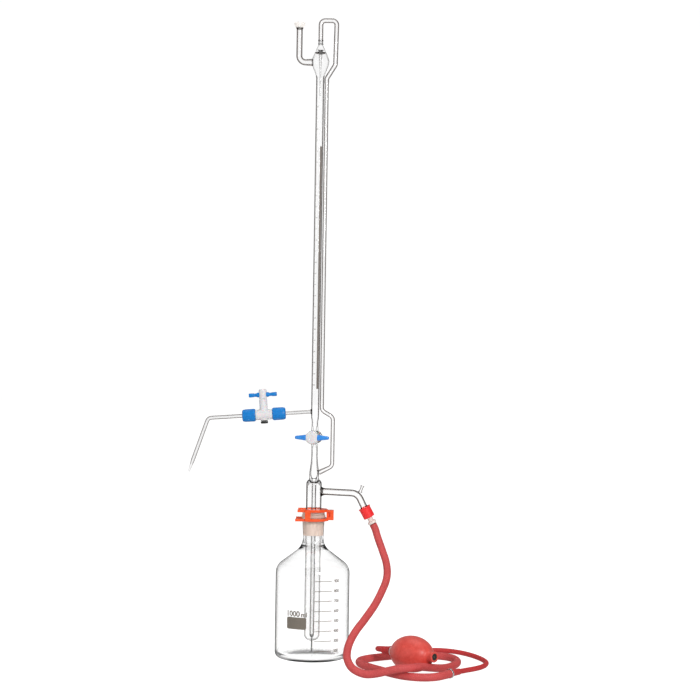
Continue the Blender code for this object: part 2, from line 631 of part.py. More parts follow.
# ---- the drain stopcock ----------------------------------------------------------------------------
def drain_stopcock():
    axis = (-math.sin(DRAIN_TURN), -math.cos(DRAIN_TURN), 0.0)
    frame = axis_frame("drain_axis", (0.0, 0.0, DRAIN_Z), axis)
    front, back, seat = 0.0130, -0.0120, 0.0100
    bore_front, bore_back = 0.0060, 0.0050
    outline = [(0.0096, front), (0.0096, seat), (BARREL_RADIUS, seat - 0.001), (BARREL_RADIUS, back)]
    outline += [(bore_back, back), (bore_front, front)]
    barrel = turned("drain_barrel", outline, STEPS_MEDIUM, glass("drain_barrel"), frame)
    drill(barrel, "drain_ports", (0.0, 0.0, DRAIN_Z - 0.012), (0, 0, 1), 0.024, DRAIN_BORE)

    hub_back, hub_front, hub = front + GAP, 0.0223, 0.0088
    stub, stub_end = 0.0030, -0.0210
    plug_outline = [(0.0, hub_front), (hub - 0.001, hub_front), (hub, hub_front - 0.001), (hub, hub_back)]
    plug_outline += [(bore_front - GAP, hub_back), (bore_back - GAP, back), (stub, back)]
    plug_outline += [(stub, stub_end), (0.0, stub_end)]
    plug = turned("drain_plug", plug_outline, STEPS_MEDIUM, ptfe("drain_plug"), frame, closed=False)
    drill(plug, "drain_plug_bore", (0.0, 0.0, DRAIN_Z - 0.012), (0, 0, 1), 0.024, DRAIN_BORE)

    hole = stub + GAP
    turned(
        "drain_washer", ring_outline(0.0062, hole, back - GAP, -0.0135), STEPS_SMALL,
        ptfe("drain_washer"), frame,
    )
    turned(
        "drain_oring", ring_outline(0.0054, hole, -0.0138, -0.0154), STEPS_SMALL,
        black_rubber("drain_oring"), frame,
    )
    turned(
        "drain_nut", ring_outline(0.0060, hole, -0.0157, -0.0205), STEPS_TINY,
        ptfe("drain_nut"), frame,
    )
    across = Vector((-axis[1], axis[0], 0.0))
    middle = Vector((0.0, 0.0, DRAIN_Z)) + Vector(axis) * ((hub_back + hub_front) / 2)
    arms = (("drain_handle_left", -across), ("drain_handle_right", across))
    for name, direction in arms:
        outline = [(0.0, 0.0238), (0.0015, 0.0238), (0.0022, 0.0230), (0.0037, 0.0092), (0.0, 0.0092)]
        arm = turned(name, outline, STEPS_SMALL, blue_plastic(name), closed=False)
        arm.location = middle
        arm.rotation_euler = direction.to_track_quat("Z", "Y").to_euler()


# ---- the outlet stopcock ---------------------------------------------------------------------------
def outlet_direction():
    return Vector((-math.cos(OUTLET_TILT), 0.0, -math.sin(OUTLET_TILT)))


def outlet_up():
    return Vector((-math.sin(OUTLET_TILT), 0.0, math.cos(OUTLET_TILT)))


def outlet_point(along, up=0.0):
    return Vector((0.0, 0.0, OUTLET_Z)) + outlet_direction() * along + outlet_up() * up


def outlet_glass():
    arm = [outlet_point(BURETTE_RADIUS + 0.0005), outlet_point(0.0640)]
    glass_tube("outlet_arm", arm, OUTLET_RADIUS)
    path = rounded_path([outlet_point(0.0766), outlet_point(JET_BEND_AT), JET_TAPER, JET_TIP], 0.0070)
    widths = [1.0] * (len(path) - 1) + [0.42]
    glass_tube("delivery_jet", path, OUTLET_RADIUS, wall=0.0007, widths=widths)


def outlet_body():
    """The stopcock's body: a cross of a spigot for each tube, a tall sleeve and a foot."""
    frame = axis_frame("outlet_axis", (0.0, 0.0, OUTLET_Z), outlet_direction())
    middle = (INNER_NUT[1] + GAP, OUTER_NUT[0] - GAP)
    outline = [(0.0, SPIGOT_ENDS[1]), (SPIGOT_RADIUS, SPIGOT_ENDS[1]), (SPIGOT_RADIUS, middle[1])]
    outline += [(BODY_RADIUS, middle[1]), (BODY_RADIUS, middle[0]), (SPIGOT_RADIUS, middle[0])]
    outline += [(SPIGOT_RADIUS, SPIGOT_ENDS[0]), (0.0, SPIGOT_ENDS[0])]
    body = turned("outlet_body", outline, STEPS_MEDIUM, ptfe("outlet_body"), frame, closed=False)
    up = outlet_up()
    sleeve_foot, sleeve_top = -0.0077, 0.0212
    sleeve = rod_helper(
        "sleeve", outlet_point(OUTLET_PLUG_AT, sleeve_foot), up, sleeve_top - sleeve_foot, 0.0055,
        steps=STEPS_MEDIUM,
    )
    combine(body, sleeve, "UNION")
    drill(body, "plug_bore", outlet_point(OUTLET_PLUG_AT, -0.0120), up, 0.0400, 0.0038)
    tube_end = 0.0048
    for name, start, direction in (
        ("inner_socket", 0.0440, outlet_direction()), ("outer_socket", 0.0965, -outlet_direction())
    ):
        depth = abs(OUTLET_PLUG_AT - start) - tube_end
        drill(body, name, outlet_point(start), direction, depth, NUT_BORE)
    drill(body, "through_bore", outlet_point(0.0600), outlet_direction(), 0.0200, THROUGH_BORE)
    return frame


def outlet_nuts(frame):
    """The two nuts that grip the glass tubes, each with its sealing ferrule inside."""
    wall = 0.0024
    bore = SPIGOT_RADIUS + 0.0004
    for name, (low, high), sign in (("inner", INNER_NUT, 1), ("outer", OUTER_NUT, -1)):
        closed_end, open_end = (low, high) if sign > 0 else (high, low)
        shelf = closed_end + sign * wall
        outline = [(NUT_RADIUS - 0.0006, closed_end), (NUT_RADIUS, closed_end + sign * 0.0006)]
        outline += [(NUT_RADIUS, open_end - sign * 0.0006), (NUT_RADIUS - 0.0006, open_end)]
        outline += [(bore, open_end), (bore, shelf), (NUT_BORE, shelf), (NUT_BORE, closed_end)]
        ferrule = [(0.0056, shelf + sign * GAP), (0.0056, shelf + sign * 0.0016)]
        ferrule += [(0.0040, shelf + sign * 0.0034), (NUT_BORE, shelf + sign * 0.0034)]
        ferrule += [(NUT_BORE, shelf + sign * GAP)]
        if sign > 0:
            outline.reverse()
            ferrule.reverse()
        turned(name + "_tube_nut", outline, STEPS_MEDIUM, blue_plastic(name + "_nut"), frame)
        turned(name + "_ferrule", ferrule, STEPS_SMALL, ptfe(name + "_ferrule"), frame)


def outlet_plug():
    frame = axis_frame("outlet_plug_axis", outlet_point(OUTLET_PLUG_AT), outlet_up())
    head, stem, stub = 0.0055, 0.0035, 0.0024
    head_low, head_high, stem_low, stub_low = 0.0215, 0.0350, -0.0072, -0.0130
    outline = [(0.0, head_high), (head - 0.0008, head_high), (head, head_high - 0.0008), (head, head_low)]
    outline += [(stem, head_low), (stem, stem_low), (stub, stem_low), (stub, stub_low), (0.0, stub_low)]
    plug = turned("outlet_plug", outline, STEPS_MEDIUM, ptfe("outlet_plug"), frame, closed=False)
    drill(plug, "outlet_plug_bore", outlet_point(0.0600), outlet_direction(), 0.0200, THROUGH_BORE)
    hole = stub + GAP
    turned(
        "outlet_washer", ring_outline(0.0047, hole, -0.0080, -0.0092), STEPS_SMALL,
        black_rubber("outlet_washer"), frame,
    )
    turned(
        "outlet_plug_nut", ring_outline(0.0052, hole, -0.0095, -0.0123), STEPS_TINY,
        material("outlet_nut_black", (0.02, 0.02, 0.02), 0.4), frame,
    )
    arm_outline = [(0.0, 0.0193), (0.0021, 0.0193), (0.0028, 0.0184), (0.0023, 0.0125), (0.0033, 0.0059)]
    arm_outline += [(0.0, 0.0059)]
    arms = (
        ("outlet_handle_left", outlet_direction()), ("outlet_handle_right", -outlet_direction())
    )
    for name, direction in arms:
        arm = turned(name, arm_outline, STEPS_SMALL, blue_plastic(name), closed=False)
        arm.location = outlet_point(OUTLET_PLUG_AT, 0.0272)
        arm.rotation_euler = direction.to_track_quat("Z", "Y").to_euler()


# ---- the air side ----------------------------------------------------------------------------------
def cap_point(along):
    return Vector(CAP_ORIGIN) + Vector(CAP_DIRECTION).normalized() * along


def side_arm():
    """The air inlet, bent down into its screw thread, with the finger vent on the bend."""
    thread = [cap_point(0.0008), cap_point(0.0086)]
    path = rounded_path(
        [(JACKET_RADIUS + 0.0004, 0.0, SIDE_ARM_Z), SIDE_ARM_CORNER, cap_point(-0.0015)], 0.0140
    )
    widths = [1.0] * len(path) + [1.3, 1.3]
    arm = meshed(glass_tube("side_arm", path + thread, SIDE_ARM_RADIUS, 0.0011, widths))
    vent = Vector(FINGER_VENT_DIRECTION)
    root = Vector(FINGER_VENT_ROOT)
    drill(arm, "finger_port", root - vent * 0.0060, vent, 0.0080, 0.0012)
    outline = [(0.0028, 0.0093), (0.0027, 0.0085), (0.0020, 0.0070), (0.0020, 0.0025), (0.0027, 0.0)]
    outline += [(0.0012, 0.0), (0.0012, 0.0093)]
    stub = turned("finger_vent", outline, STEPS_SMALL, glass("finger_vent"))
    stub.location = root
    stub.rotation_euler = vent.to_track_quat("Z", "Y").to_euler()


def cap_and_connector():
    frame = axis_frame("cap_axis", CAP_ORIGIN, CAP_DIRECTION)
    cavity, hole = 0.0071, NOZZLE_RADIUS + 0.0004
    lip, shelf = 0.0086, 0.0142
    outline = [(CAP_RADIUS - 0.0006, CAP_LENGTH), (hole, CAP_LENGTH), (hole, shelf), (cavity, shelf)]
    outline += [(cavity, 0.0), (lip, 0.0), (lip, 0.0014), (CAP_RADIUS, 0.0018)]
    outline += [(CAP_RADIUS, CAP_LENGTH - 0.0006)]
    outline.reverse()
    turned(
        "screw_cap", outline[-1:] + outline[:-1], STEPS_MEDIUM,
        material("cap_red", (0.90, 0.03, 0.04), 0.4), frame,
    )
    turned(
        "cap_washer", ring_outline(0.0065, hole, 0.0138, 0.0132), STEPS_SMALL,
        ptfe("cap_washer"), frame,
    )
    turned(
        "cap_seal", ring_outline(0.0062, 0.0030, 0.0106, 0.0089), STEPS_SMALL,
        material("seal_silicone", (0.60, 0.20, 0.15), 0.6), frame,
    )
    bore, flange, collar = 0.0022, 0.0064, 0.0060
    outline = [(collar, CONNECTOR_END), (collar, 0.0216), (NOZZLE_RADIUS, 0.0210), (NOZZLE_RADIUS, 0.0129)]
    outline += [(flange, 0.0129), (flange, 0.0109), (bore, 0.0109), (bore, CONNECTOR_END)]
    turned(
        "hose_connector", outline, STEPS_SMALL, material("connector_cream", (0.80, 0.74, 0.70), 0.45), frame
    )


def hoses():
    hose = smooth_path(HOSE_ROUTE, CORD_STEP)
    tube_curve("pressure_hose", hose, HOSE_RADIUS, red_rubber("hose"), 2)
    end = Vector(HOSE_ROUTE[-1])
    along = (end - Vector(HOSE_ROUTE[-2])).normalized()
    clamp = turned(
        "hose_clamp", ring_outline(CLAMP_RADIUS, HOSE_RADIUS + 0.0004, CLAMP_WIDTH, 0.0), STEPS_SMALL,
        material("clamp_steel", (0.75, 0.75, 0.75), 0.25, metallic=1.0),
    )
    clamp.location = end - along * (CLAMP_WIDTH + 0.0002)
    clamp.rotation_euler = along.to_track_quat("Z", "Y").to_euler()
    tube = smooth_path(TUBE_ROUTE, CORD_STEP * TUBE_RADIUS / HOSE_RADIUS)
    tube_curve("bulb_tube", tube, TUBE_RADIUS, red_rubber("tube"), 2)
    start = end + along * 0.0005
    toward = (Vector(TUBE_ROUTE[-1]) - start).normalized()
    outline = rod_outline(REDUCER_RADIUS, REDUCER_LENGTH - 0.0008, 0.0, 0.0006)
    reducer = turned("hose_reducer", outline, STEPS_SMALL, red_rubber("reducer"), closed=False)
    reducer.location = start
    reducer.rotation_euler = toward.to_track_quat("Z", "Y").to_euler()


def valve(name, low, frame):
    """A valve's cage: a short tube with a narrow mouth at each end, which keeps the ball in."""
    high = low + VALVE_LENGTH
    chamber, lip = BALL_RADIUS + 0.0004, VALVE_MOUTH
    outline = [(VALVE_RADIUS, high), (VALVE_RADIUS, low), (VALVE_MOUTH, low), (VALVE_MOUTH, low + lip)]
    outline += [(chamber, low + lip), (chamber, high - lip)]
    outline += [(VALVE_MOUTH, high - lip), (VALVE_MOUTH, high)]
    turned(name, outline, STEPS_SMALL, black_rubber(name), frame)


def ball(name, along, frame):
    bpy.ops.mesh.primitive_uv_sphere_add(segments=12, ring_count=8, radius=BALL_RADIUS)
    obj = bpy.context.object
    obj.name = name
    for owner in list(obj.users_collection):
        owner.objects.unlink(obj)
    PARTS.objects.link(obj)
    obj.data.shade_smooth()
    obj.data.materials.append(material(name + "_steel", (0.7, 0.7, 0.7), 0.2, metallic=1.0))
    obj.parent = frame
    obj.location = (0.0, 0.0, along)


def hand_bulb():
    frame = axis_frame("hand_bulb_axis", HAND_BULB_AT, HAND_BULB_DIRECTION)
    front = math.degrees(math.asin(INLET_NECK_RADIUS / HAND_BULB_RADIUS))
    rear = math.degrees(math.asin(OUTLET_NECK_RADIUS / HAND_BULB_RADIUS))
    bore = VALVE_RADIUS + 0.0004
    outer = [(INLET_LIP_RADIUS, INLET_NECK_END), (INLET_LIP_RADIUS, INLET_NECK_END - 0.0020)]
    outer += [(INLET_NECK_RADIUS, INLET_NECK_END - 0.0030)]
    outer += egg(HAND_BULB_RADIUS, HAND_BULB_HALF_LENGTH, front, 180.0 - rear)
    outer += [(OUTLET_NECK_RADIUS, OUTLET_NECK_END)]
    small_radius = HAND_BULB_RADIUS - HAND_BULB_WALL
    small_half = HAND_BULB_HALF_LENGTH - HAND_BULB_WALL
    inner_end = math.degrees(math.asin(bore / small_radius))
    inner = [(bore, OUTLET_NECK_END)]
    inner += egg(small_radius, small_half, 180.0 - inner_end, inner_end)
    inner += [(bore, INLET_NECK_END)]
    turned("rubber_bulb", outer + inner, STEPS_MEDIUM, red_rubber("bulb"), frame)
    for name, low in (("inlet", INLET_VALVE_AT), ("outlet", OUTLET_VALVE_AT)):
        valve(name + "_valve", low, frame)
        ball(name + "_ball", low + BALL_IN_VALVE, frame)
    top = OUTLET_NECK_END - GAP
    collar = ring_outline(COLLAR_RADIUS, COLLAR_BORE, top, top - COLLAR_LENGTH)
    turned("bulb_collar", collar, STEPS_SMALL, ptfe("bulb_collar"), frame)
    start, tail = top - COLLAR_LENGTH - GAP, OUTLET_FITTING_END
    wide, narrow = FITTING_RADII
    outline = [(wide, start)]
    for i in range(1, FITTING_RIBS + 1):
        share = i / (FITTING_RIBS + 1)
        low = start + (tail - start) * share
        radius = wide + (narrow - wide) * share
        outline += [(radius + 0.0003, low + 0.0011), (radius - 0.0004, low + 0.0005)]
        outline += [(radius - 0.0004, low)]
    outline += [(narrow, tail), (FITTING_BORE, tail), (FITTING_BORE, start)]
    turned("outlet_fitting", outline, STEPS_SMALL, red_rubber("fitting"), frame)


def egg(radius, half_length, start_deg, end_deg):
    """The hand bulb's outline as an ellipse, its angles counted from the inlet end."""
    steps = 9
    points = []
    for i in range(steps + 1):
        angle = math.radians(start_deg + (end_deg - start_deg) * i / steps)
        points.append((radius * math.sin(angle), half_length * math.cos(angle)))
    return points


clear_scene()
PARTS = collection("automatic_burette")
CUTTERS = collection("cutters")
CUTTERS.hide_render = True
reservoir()
joint_clip()
ground_cone()
dip_tubes()
stem_tubes()
filling_tubes()
vent_tube()
drain_stopcock()
outlet_glass()
outlet_nuts(outlet_body())
outlet_plug()
side_arm()
cap_and_connector()
hoses()
hand_bulb()
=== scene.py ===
"""Automatic burette on a 1000 ml reservoir bottle: the look of it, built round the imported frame.

Metres, +Z up, in the frame's own axes. The burette stands on +Z over the middle of the bottle's base, the
dispensing arm points to -X, the air side with its hose to +X, and -Y is the front.
"""

import math

import bmesh
import bpy
from mathutils import Matrix, Quaternion, Vector


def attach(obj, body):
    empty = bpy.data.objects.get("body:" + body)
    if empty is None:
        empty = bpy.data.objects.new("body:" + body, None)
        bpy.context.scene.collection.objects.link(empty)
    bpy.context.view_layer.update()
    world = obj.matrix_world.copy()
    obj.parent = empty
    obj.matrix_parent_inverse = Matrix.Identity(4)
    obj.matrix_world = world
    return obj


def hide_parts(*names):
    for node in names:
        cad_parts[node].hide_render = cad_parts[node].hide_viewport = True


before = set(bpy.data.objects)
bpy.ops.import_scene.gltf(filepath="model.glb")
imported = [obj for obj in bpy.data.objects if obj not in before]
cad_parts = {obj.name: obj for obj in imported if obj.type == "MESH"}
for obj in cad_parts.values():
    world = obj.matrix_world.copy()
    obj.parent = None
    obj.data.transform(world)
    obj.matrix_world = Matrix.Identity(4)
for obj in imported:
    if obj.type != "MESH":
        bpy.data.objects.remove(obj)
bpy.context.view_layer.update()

# ---- driving dimensions ----
BOTTLE_RADIUS = 0.0505
BOTTLE_RIM_Z = 0.1936  # top of the bottle's ground rim
MATT_FROM_Z = 0.1655  # lower end of the matt part of the ground joint
MATT_RIM_FROM_Z = 0.1895  # the bottle's rim is matt outside too, from here up
SHOULDER_AT = (0.0325, 0.1148)  # middle of the arc that rounds the bottle's shoulder
SHOULDER_ARC_DEG = 52.6
JACKET_RADIUS = 0.0106
GUARD_END_Z = 0.0307  # where the guard tube starts to close
INNER_TUBE_RADIUS = 0.00305
INNER_TUBE_TOP_Z = 0.2360
BURETTE_RADIUS = 0.0055
DRAIN_Z = 0.2995
DRAIN_TURN = math.radians(11.0)
OUTLET_Z = 0.3349
OUTLET_TILT = math.radians(4.3)
OUTLET_PLUG_AT = 0.0703
OUTLET_RADIUS = 0.0027
NUT_BORE_RADIUS = 0.00305
JET_BEND_AT = 0.1470
JET_TAPER = (-0.1665, 0.0, 0.2666)
JET_TIP = (-0.1718, 0.0, 0.2504)
FILLING_X = 0.0091  # the riser beside the burette
VENT_X = -0.0293
VENT_RADIUS = 0.0041
VENT_JOIN_Z = 0.8160
VENT_TOP_Z = 0.8705
SIDE_ARM_Z = 0.2253
SIDE_ARM_RADIUS = 0.0047
SIDE_ARM_CORNER = (0.0598, 0.0, 0.2236)
FINGER_VENT_ROOT = Vector((0.0634, 0.0, 0.2254))
FINGER_VENT_DIRECTION = Vector((0.342, 0.0, 0.940))
CAP_ORIGIN = Vector((0.0692, 0.0, 0.2046))
CAP_DIRECTION = Vector((0.482, 0.0, -0.876)).normalized()
HAND_BULB_AT = Vector((0.1330, -0.0985, 0.0238))
HAND_BULB_DIRECTION = Vector((0.680, -0.732, 0.045))
HAND_BULB_RADIUS = 0.0235
HAND_BULB_HALF_LENGTH = 0.0330
HAND_BULB_WALL = 0.0026
HOSE_RADIUS = 0.0051
TUBE_RADIUS = 0.0033
CORD_STEP = 0.0030
SAME_POINT = 0.0000005  # points closer than this are one point

# The hose's route, from its connector down to the table, in one loop over itself round the hand bulb.
HOSE_ROUTE = [
    (0.0815, 0.0000, 0.1819), (0.0848, 0.0000, 0.1752), (0.0885, -0.0022, 0.1636),
    (0.0948, -0.0085, 0.1468), (0.0996, -0.0160, 0.1332), (0.1014, -0.0255, 0.1207),
    (0.0996, -0.0370, 0.1094), (0.0940, -0.0510, 0.0979), (0.0847, -0.0690, 0.0826),
    (0.0714, -0.0900, 0.0667), (0.0597, -0.1070, 0.0539), (0.0521, -0.1210, 0.0421),
    (0.0486, -0.1320, 0.0312), (0.0494, -0.1400, 0.0222), (0.0560, -0.1462, 0.0130),
    (0.0700, -0.1494, 0.0072), (0.0840, -0.1520, 0.0080), (0.1000, -0.1560, 0.0125),
    (0.1150, -0.1570, 0.0160), (0.1284, -0.1530, 0.0162), (0.1420, -0.1420, 0.0156),
    (0.1545, -0.1250, 0.0116), (0.1662, -0.1105, 0.0082), (0.1757, -0.0970, 0.0060),
    (0.1850, -0.0835, 0.0053), (0.1930, -0.0660, 0.0053), (0.1960, -0.0480, 0.0053),
    (0.1930, -0.0310, 0.0053), (0.1850, -0.0180, 0.0053), (0.1700, -0.0105, 0.0053),
    (0.1500, -0.0080, 0.0053), (0.1280, -0.0100, 0.0053), (0.1090, -0.0165, 0.0053),
    (0.0912, -0.0265, 0.0053), (0.0756, -0.0385, 0.0053), (0.0656, -0.0545, 0.0053),
    (0.0672, -0.0765, 0.0053), (0.0785, -0.0965, 0.0053), (0.0920, -0.1150, 0.0053),
    (0.1050, -0.1330, 0.0053), (0.1210, -0.1490, 0.0053), (0.1410, -0.1570, 0.0053),
    (0.1600, -0.1540, 0.0055), (0.1763, -0.1401, 0.0061), (0.1818, -0.1318, 0.0064),
]
# The thin tube's route, from the hand bulb's outlet over the hose and round to the reducer.
TUBE_ROUTE = [
    (0.0954, -0.0580, 0.0213), (0.0928, -0.0549, 0.0211), (0.0904, -0.0503, 0.0207),
    (0.0895, -0.0447, 0.0202), (0.0908, -0.0375, 0.0192), (0.0960, -0.0290, 0.0176),
    (0.1020, -0.0205, 0.0158),
    (0.1090, -0.0105, 0.0129), (0.1170, -0.0005, 0.0088), (0.1270, 0.0110, 0.0052),
    (0.1400, 0.0240, 0.0036), (0.1560, 0.0360, 0.0035), (0.1730, 0.0410, 0.0035),
    (0.1900, 0.0370, 0.0035), (0.2060, 0.0250, 0.0035), (0.2180, 0.0090, 0.0035),
    (0.2270, -0.0090, 0.0035), (0.2330, -0.0280, 0.0035), (0.2350, -0.0460, 0.0035),
    (0.2310, -0.0640, 0.0035), (0.2230, -0.0790, 0.0036), (0.2130, -0.0910, 0.0038),
    (0.2036, -0.1017, 0.0043), (0.1942, -0.1139, 0.0050),
]


# ---- outlines and paths ----
def arc(center, radius, start_deg, end_deg, steps=10):
    """Points on an arc in the (radius, height) plane, both ends included."""
    points = []
    for i in range(steps + 1):
        angle = math.radians(start_deg + (end_deg - start_deg) * i / steps)
        points.append((center[0] + radius * math.cos(angle), center[1] + radius * math.sin(angle)))
    return points


def rounded_path(corners, radius, steps=10):
    """A path through corners, with each inner corner replaced by an arc, no wider than its sides allow."""
    corners = [Vector(c) for c in corners]
    path = [corners[0]]
    for before, corner, after in zip(corners, corners[1:], corners[2:]):
        into = (corner - before).normalized()
        out = (after - corner).normalized()
        turn = into.angle(out)
        if turn < math.radians(1.0) or turn > math.radians(179.0):  # no arc fits
            path.append(corner)
            continue
        room = min((corner - before).length, (after - corner).length) * 0.48  # the next corner needs some
        reach = min(radius * math.tan(turn / 2), room)
        bend = reach / math.tan(turn / 2)
        center = corner + (out - into).normalized() * (bend / math.cos(turn / 2))
        spoke = corner - into * reach - center
        axis = into.cross(out).normalized()
        for i in range(steps + 1):
            path.append(center + Quaternion(axis, turn * i / steps) @ spoke)
    path.append(corners[-1])
    return path


def soften(outline, radius=0.0005, steps=3, closed=True):
    """An outline in (radius, height) with its corners rounded."""
    points = [Vector((r, 0.0, z)) for r, z in outline]
    if closed:
        middle = (points[0] + points[-1]) / 2
        points = [middle, *points, middle]
    path = rounded_path(points, radius, steps)
    if closed:
        path = path[:-1]
    return [(max(p.x, 0.0), p.z) for p in path]


FINE_STEPS = 10  # between two points of a route


def smooth_path(points, step):
    """Points about one step apart on the smooth curve (Catmull-Rom) through these points."""
    points = [Vector(p) for p in points]
    ends = [2 * points[0] - points[1], *points, 2 * points[-1] - points[-2]]
    fine = []
    for a, b, c, d in zip(ends, ends[1:], ends[2:], ends[3:]):
        for i in range(FINE_STEPS):
            t = i / FINE_STEPS
            fine.append(
                b
                + (c - a) * (t / 2)
                + (2 * a - 5 * b + 4 * c - d) * (t * t / 2)
                + (3 * b - a - 3 * c + d) * (t * t * t / 2)
            )
    fine.append(points[-1])
    lengths = [(q - p).length for p, q in zip(fine, fine[1:])]
    total = sum(lengths)
    count = round(total / step)
    path = [fine[0]]
    run = 0.0
    for p, q, length in zip(fine, fine[1:], lengths):
        while len(path) < count and run + length >= total * len(path) / count:
            path.append(p.lerp(q, (total * len(path) / count - run) / length))
        run += length
    path.append(fine[-1])
    return path


def outlet_direction():
    return Vector((-math.cos(OUTLET_TILT), 0.0, -math.sin(OUTLET_TILT)))


def outlet_up():
    return Vector((-math.sin(OUTLET_TILT), 0.0, math.cos(OUTLET_TILT)))


def outlet_point(along, up=0.0):
    """A point so far from the burette's axis along the outlet arm, and so far above the arm's middle."""
    return Vector((0.0, 0.0, OUTLET_Z)) + outlet_direction() * along + outlet_up() * up


def cap_point(along):
    """A point so far down the side arm's threaded end, from the cap's top."""
    return CAP_ORIGIN + CAP_DIRECTION * along


# ---- objects ----
def add_object(name, data):
    """A new object of the scene, with this mesh, curve, camera or lamp as its data."""
    obj = bpy.data.objects.new(name, data)
    bpy.context.scene.collection.objects.link(obj)
    return obj


def linked(name, data, body, finishes, replaced=()):
    """A piece that rides on a body, with these finishes, and stands for CAD nodes."""
    obj = add_object(name, data)
    for finish in finishes:
        data.materials.append(finish)
    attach(obj, body)
    if replaced:
        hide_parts(*replaced)
    return obj


def axis_matrix(origin, direction):
    """A placing with its Z along direction."""
    return Matrix.Translation(origin) @ Vector(direction).to_track_quat("Z", "Y").to_matrix().to_4x4()


def finish_mesh(name, verts, faces, sharp_deg=35.0):
    """A mesh with smooth shading, but for the edges where it turns by more than sharp_deg."""
    mesh = bpy.data.meshes.new(name)
    mesh.from_pydata(verts, [], faces)
    work = bmesh.new()
    work.from_mesh(mesh)
    bmesh.ops.remove_doubles(work, verts=work.verts, dist=SAME_POINT)
    bmesh.ops.recalc_face_normals(work, faces=work.faces)
    work.to_mesh(mesh)
    work.free()
    mesh.shade_smooth()
    mesh.set_sharp_from_angle(angle=math.radians(sharp_deg))
    return mesh


def ring_faces(rings, sides, closed):
    """Quads between rings of vertices that follow each other."""
    faces = []
    pairs = list(zip(range(rings), range(1, rings)))
    if closed:
        pairs.append((rings - 1, 0))
    for a, b in pairs:
        for i in range(sides):
            j = (i + 1) % sides
            faces.append((a * sides + i, a * sides + j, b * sides + j, b * sides + i))
    return faces


def starts_on_axis(outline):
    """Such an outline ends on the axis too, and so isn't closed into a ring."""
    return outline[0][0] == 0.0


def turned_mesh(name, outline, steps=64, place=None, ribs=None):
    """A piece turned about its Z. ribs(angle, r, z) gives how far a point stands out from its outline."""
    place = place or Matrix.Identity(4)
    verts = []
    for r, z in outline:
        for i in range(steps):
            angle = 2 * math.pi * i / steps
            reach = r + (ribs(angle, r, z) if ribs and r > 0.0 else 0.0)
            verts.append(place @ Vector((reach * math.cos(angle), reach * math.sin(angle), z)))
    return finish_mesh(name, verts, ring_faces(len(outline), steps, not starts_on_axis(outline)))


def turned(name, outline, body, slot, finish, replaced=(), soft=None, **shape):
    """A turned piece of one finish. soft is the radius and the steps that round its outline's corners."""
    if soft:
        outline = soften(outline, *soft, closed=not starts_on_axis(outline))
    mesh = turned_mesh(name, outline, **shape)
    return linked(name, mesh, body, [finish], replaced)


def path_frames(path):
    """For each point of a path its two cross directions, which turn as little as they can."""
    tangents = []
    for i in range(len(path)):
        tangents.append((path[min(i + 1, len(path) - 1)] - path[max(i - 1, 0)]).normalized())
    side = Vector((0.0, 1.0, 0.0))
    if abs(tangents[0].dot(side)) > 0.9:
        side = Vector((1.0, 0.0, 0.0))
    frames = []
    for i, tangent in enumerate(tangents):
        if i:
            side = tangents[i - 1].rotation_difference(tangent) @ side
        side = (side - tangent * side.dot(tangent)).normalized()
        frames.append((side, tangent.cross(side).normalized()))
    return frames


def tube_mesh(name, path, outer, inner, sides=32):
    """A hollow tube along a path, with the outer and inner radius of each point."""
    frames = path_frames(path)
    verts = []
    for order, radii in ((1, outer), (-1, inner)):
        for point, (side, up), radius in list(zip(path, frames, radii))[::order]:
            for i in range(sides):
                angle = 2 * math.pi * i / sides
                verts.append(point + (side * math.cos(angle) + up * math.sin(angle)) * radius)
    return finish_mesh(name, verts, ring_faces(2 * len(path), sides, True))


def from_axis(point):
    """How far a point is from the bottle's axis."""
    return math.hypot(point.x, point.y)


def paint(mesh, slot, z_range, radius_range=(0.0, math.inf)):
    """Gives a material slot to the faces centred between two heights and two distances from the axis."""
    for face in mesh.polygons:
        radius = from_axis(face.center)
        if z_range[0] < face.center.z < z_range[1] and radius_range[0] < radius < radius_range[1]:
            face.material_index = slot


# ---- material building ----
def srgb(red, green, blue):
    """Display values from 0 to 255 as the linear colour that a shader takes."""
    linear = []
    for value in (red, green, blue):
        share = value / 255.0
        linear.append(share / 12.92 if share <= 0.04045 else ((share + 0.055) / 1.055) ** 2.4)
    return (*linear, 1.0)


def new_material(name):
    made = bpy.data.materials.new(name)
    made.use_nodes = True
    tree = made.node_tree
    tree.nodes.clear()
    output = tree.nodes.new("ShaderNodeOutputMaterial")
    return made, tree, output


def node(tree, kind, **inputs):
    """A shader node with these inputs set, or linked where the value is a socket."""
    made = tree.nodes.new(kind)
    for key, value in inputs.items():
        socket = made.inputs[key.replace("_", " ")]
        if isinstance(value, bpy.types.NodeSocket):
            tree.links.new(value, socket)
        else:
            socket.default_value = value
    return made


def ramp(tree, factor, stops):
    """A colour for each value of factor, from stops of (position, colour or grey)."""
    made = tree.nodes.new("ShaderNodeValToRGB")
    tree.links.new(factor, made.inputs["Fac"])
    elements = made.color_ramp.elements
    while len(elements) < len(stops):
        elements.new(1.0)
    for element, (at, color) in zip(elements, stops):
        element.position = at
        element.color = color if isinstance(color, tuple) else (color, color, color, 1.0)
    return made.outputs["Color"]


def noise(tree, scale, detail=3.0, roughness=0.5, stretch=(1.0, 1.0, 1.0)):
    """Noise in the piece's own coordinates, so many patches to the metre."""
    coordinates = tree.nodes.new("ShaderNodeTexCoord").outputs["Object"]
    mapping = node(tree, "ShaderNodeMapping", Vector=coordinates, Scale=stretch)
    made = node(
        tree, "ShaderNodeTexNoise", Vector=mapping.outputs["Vector"], Scale=scale, Detail=detail,
        Roughness=roughness,
    )
    return made.outputs["Fac"]


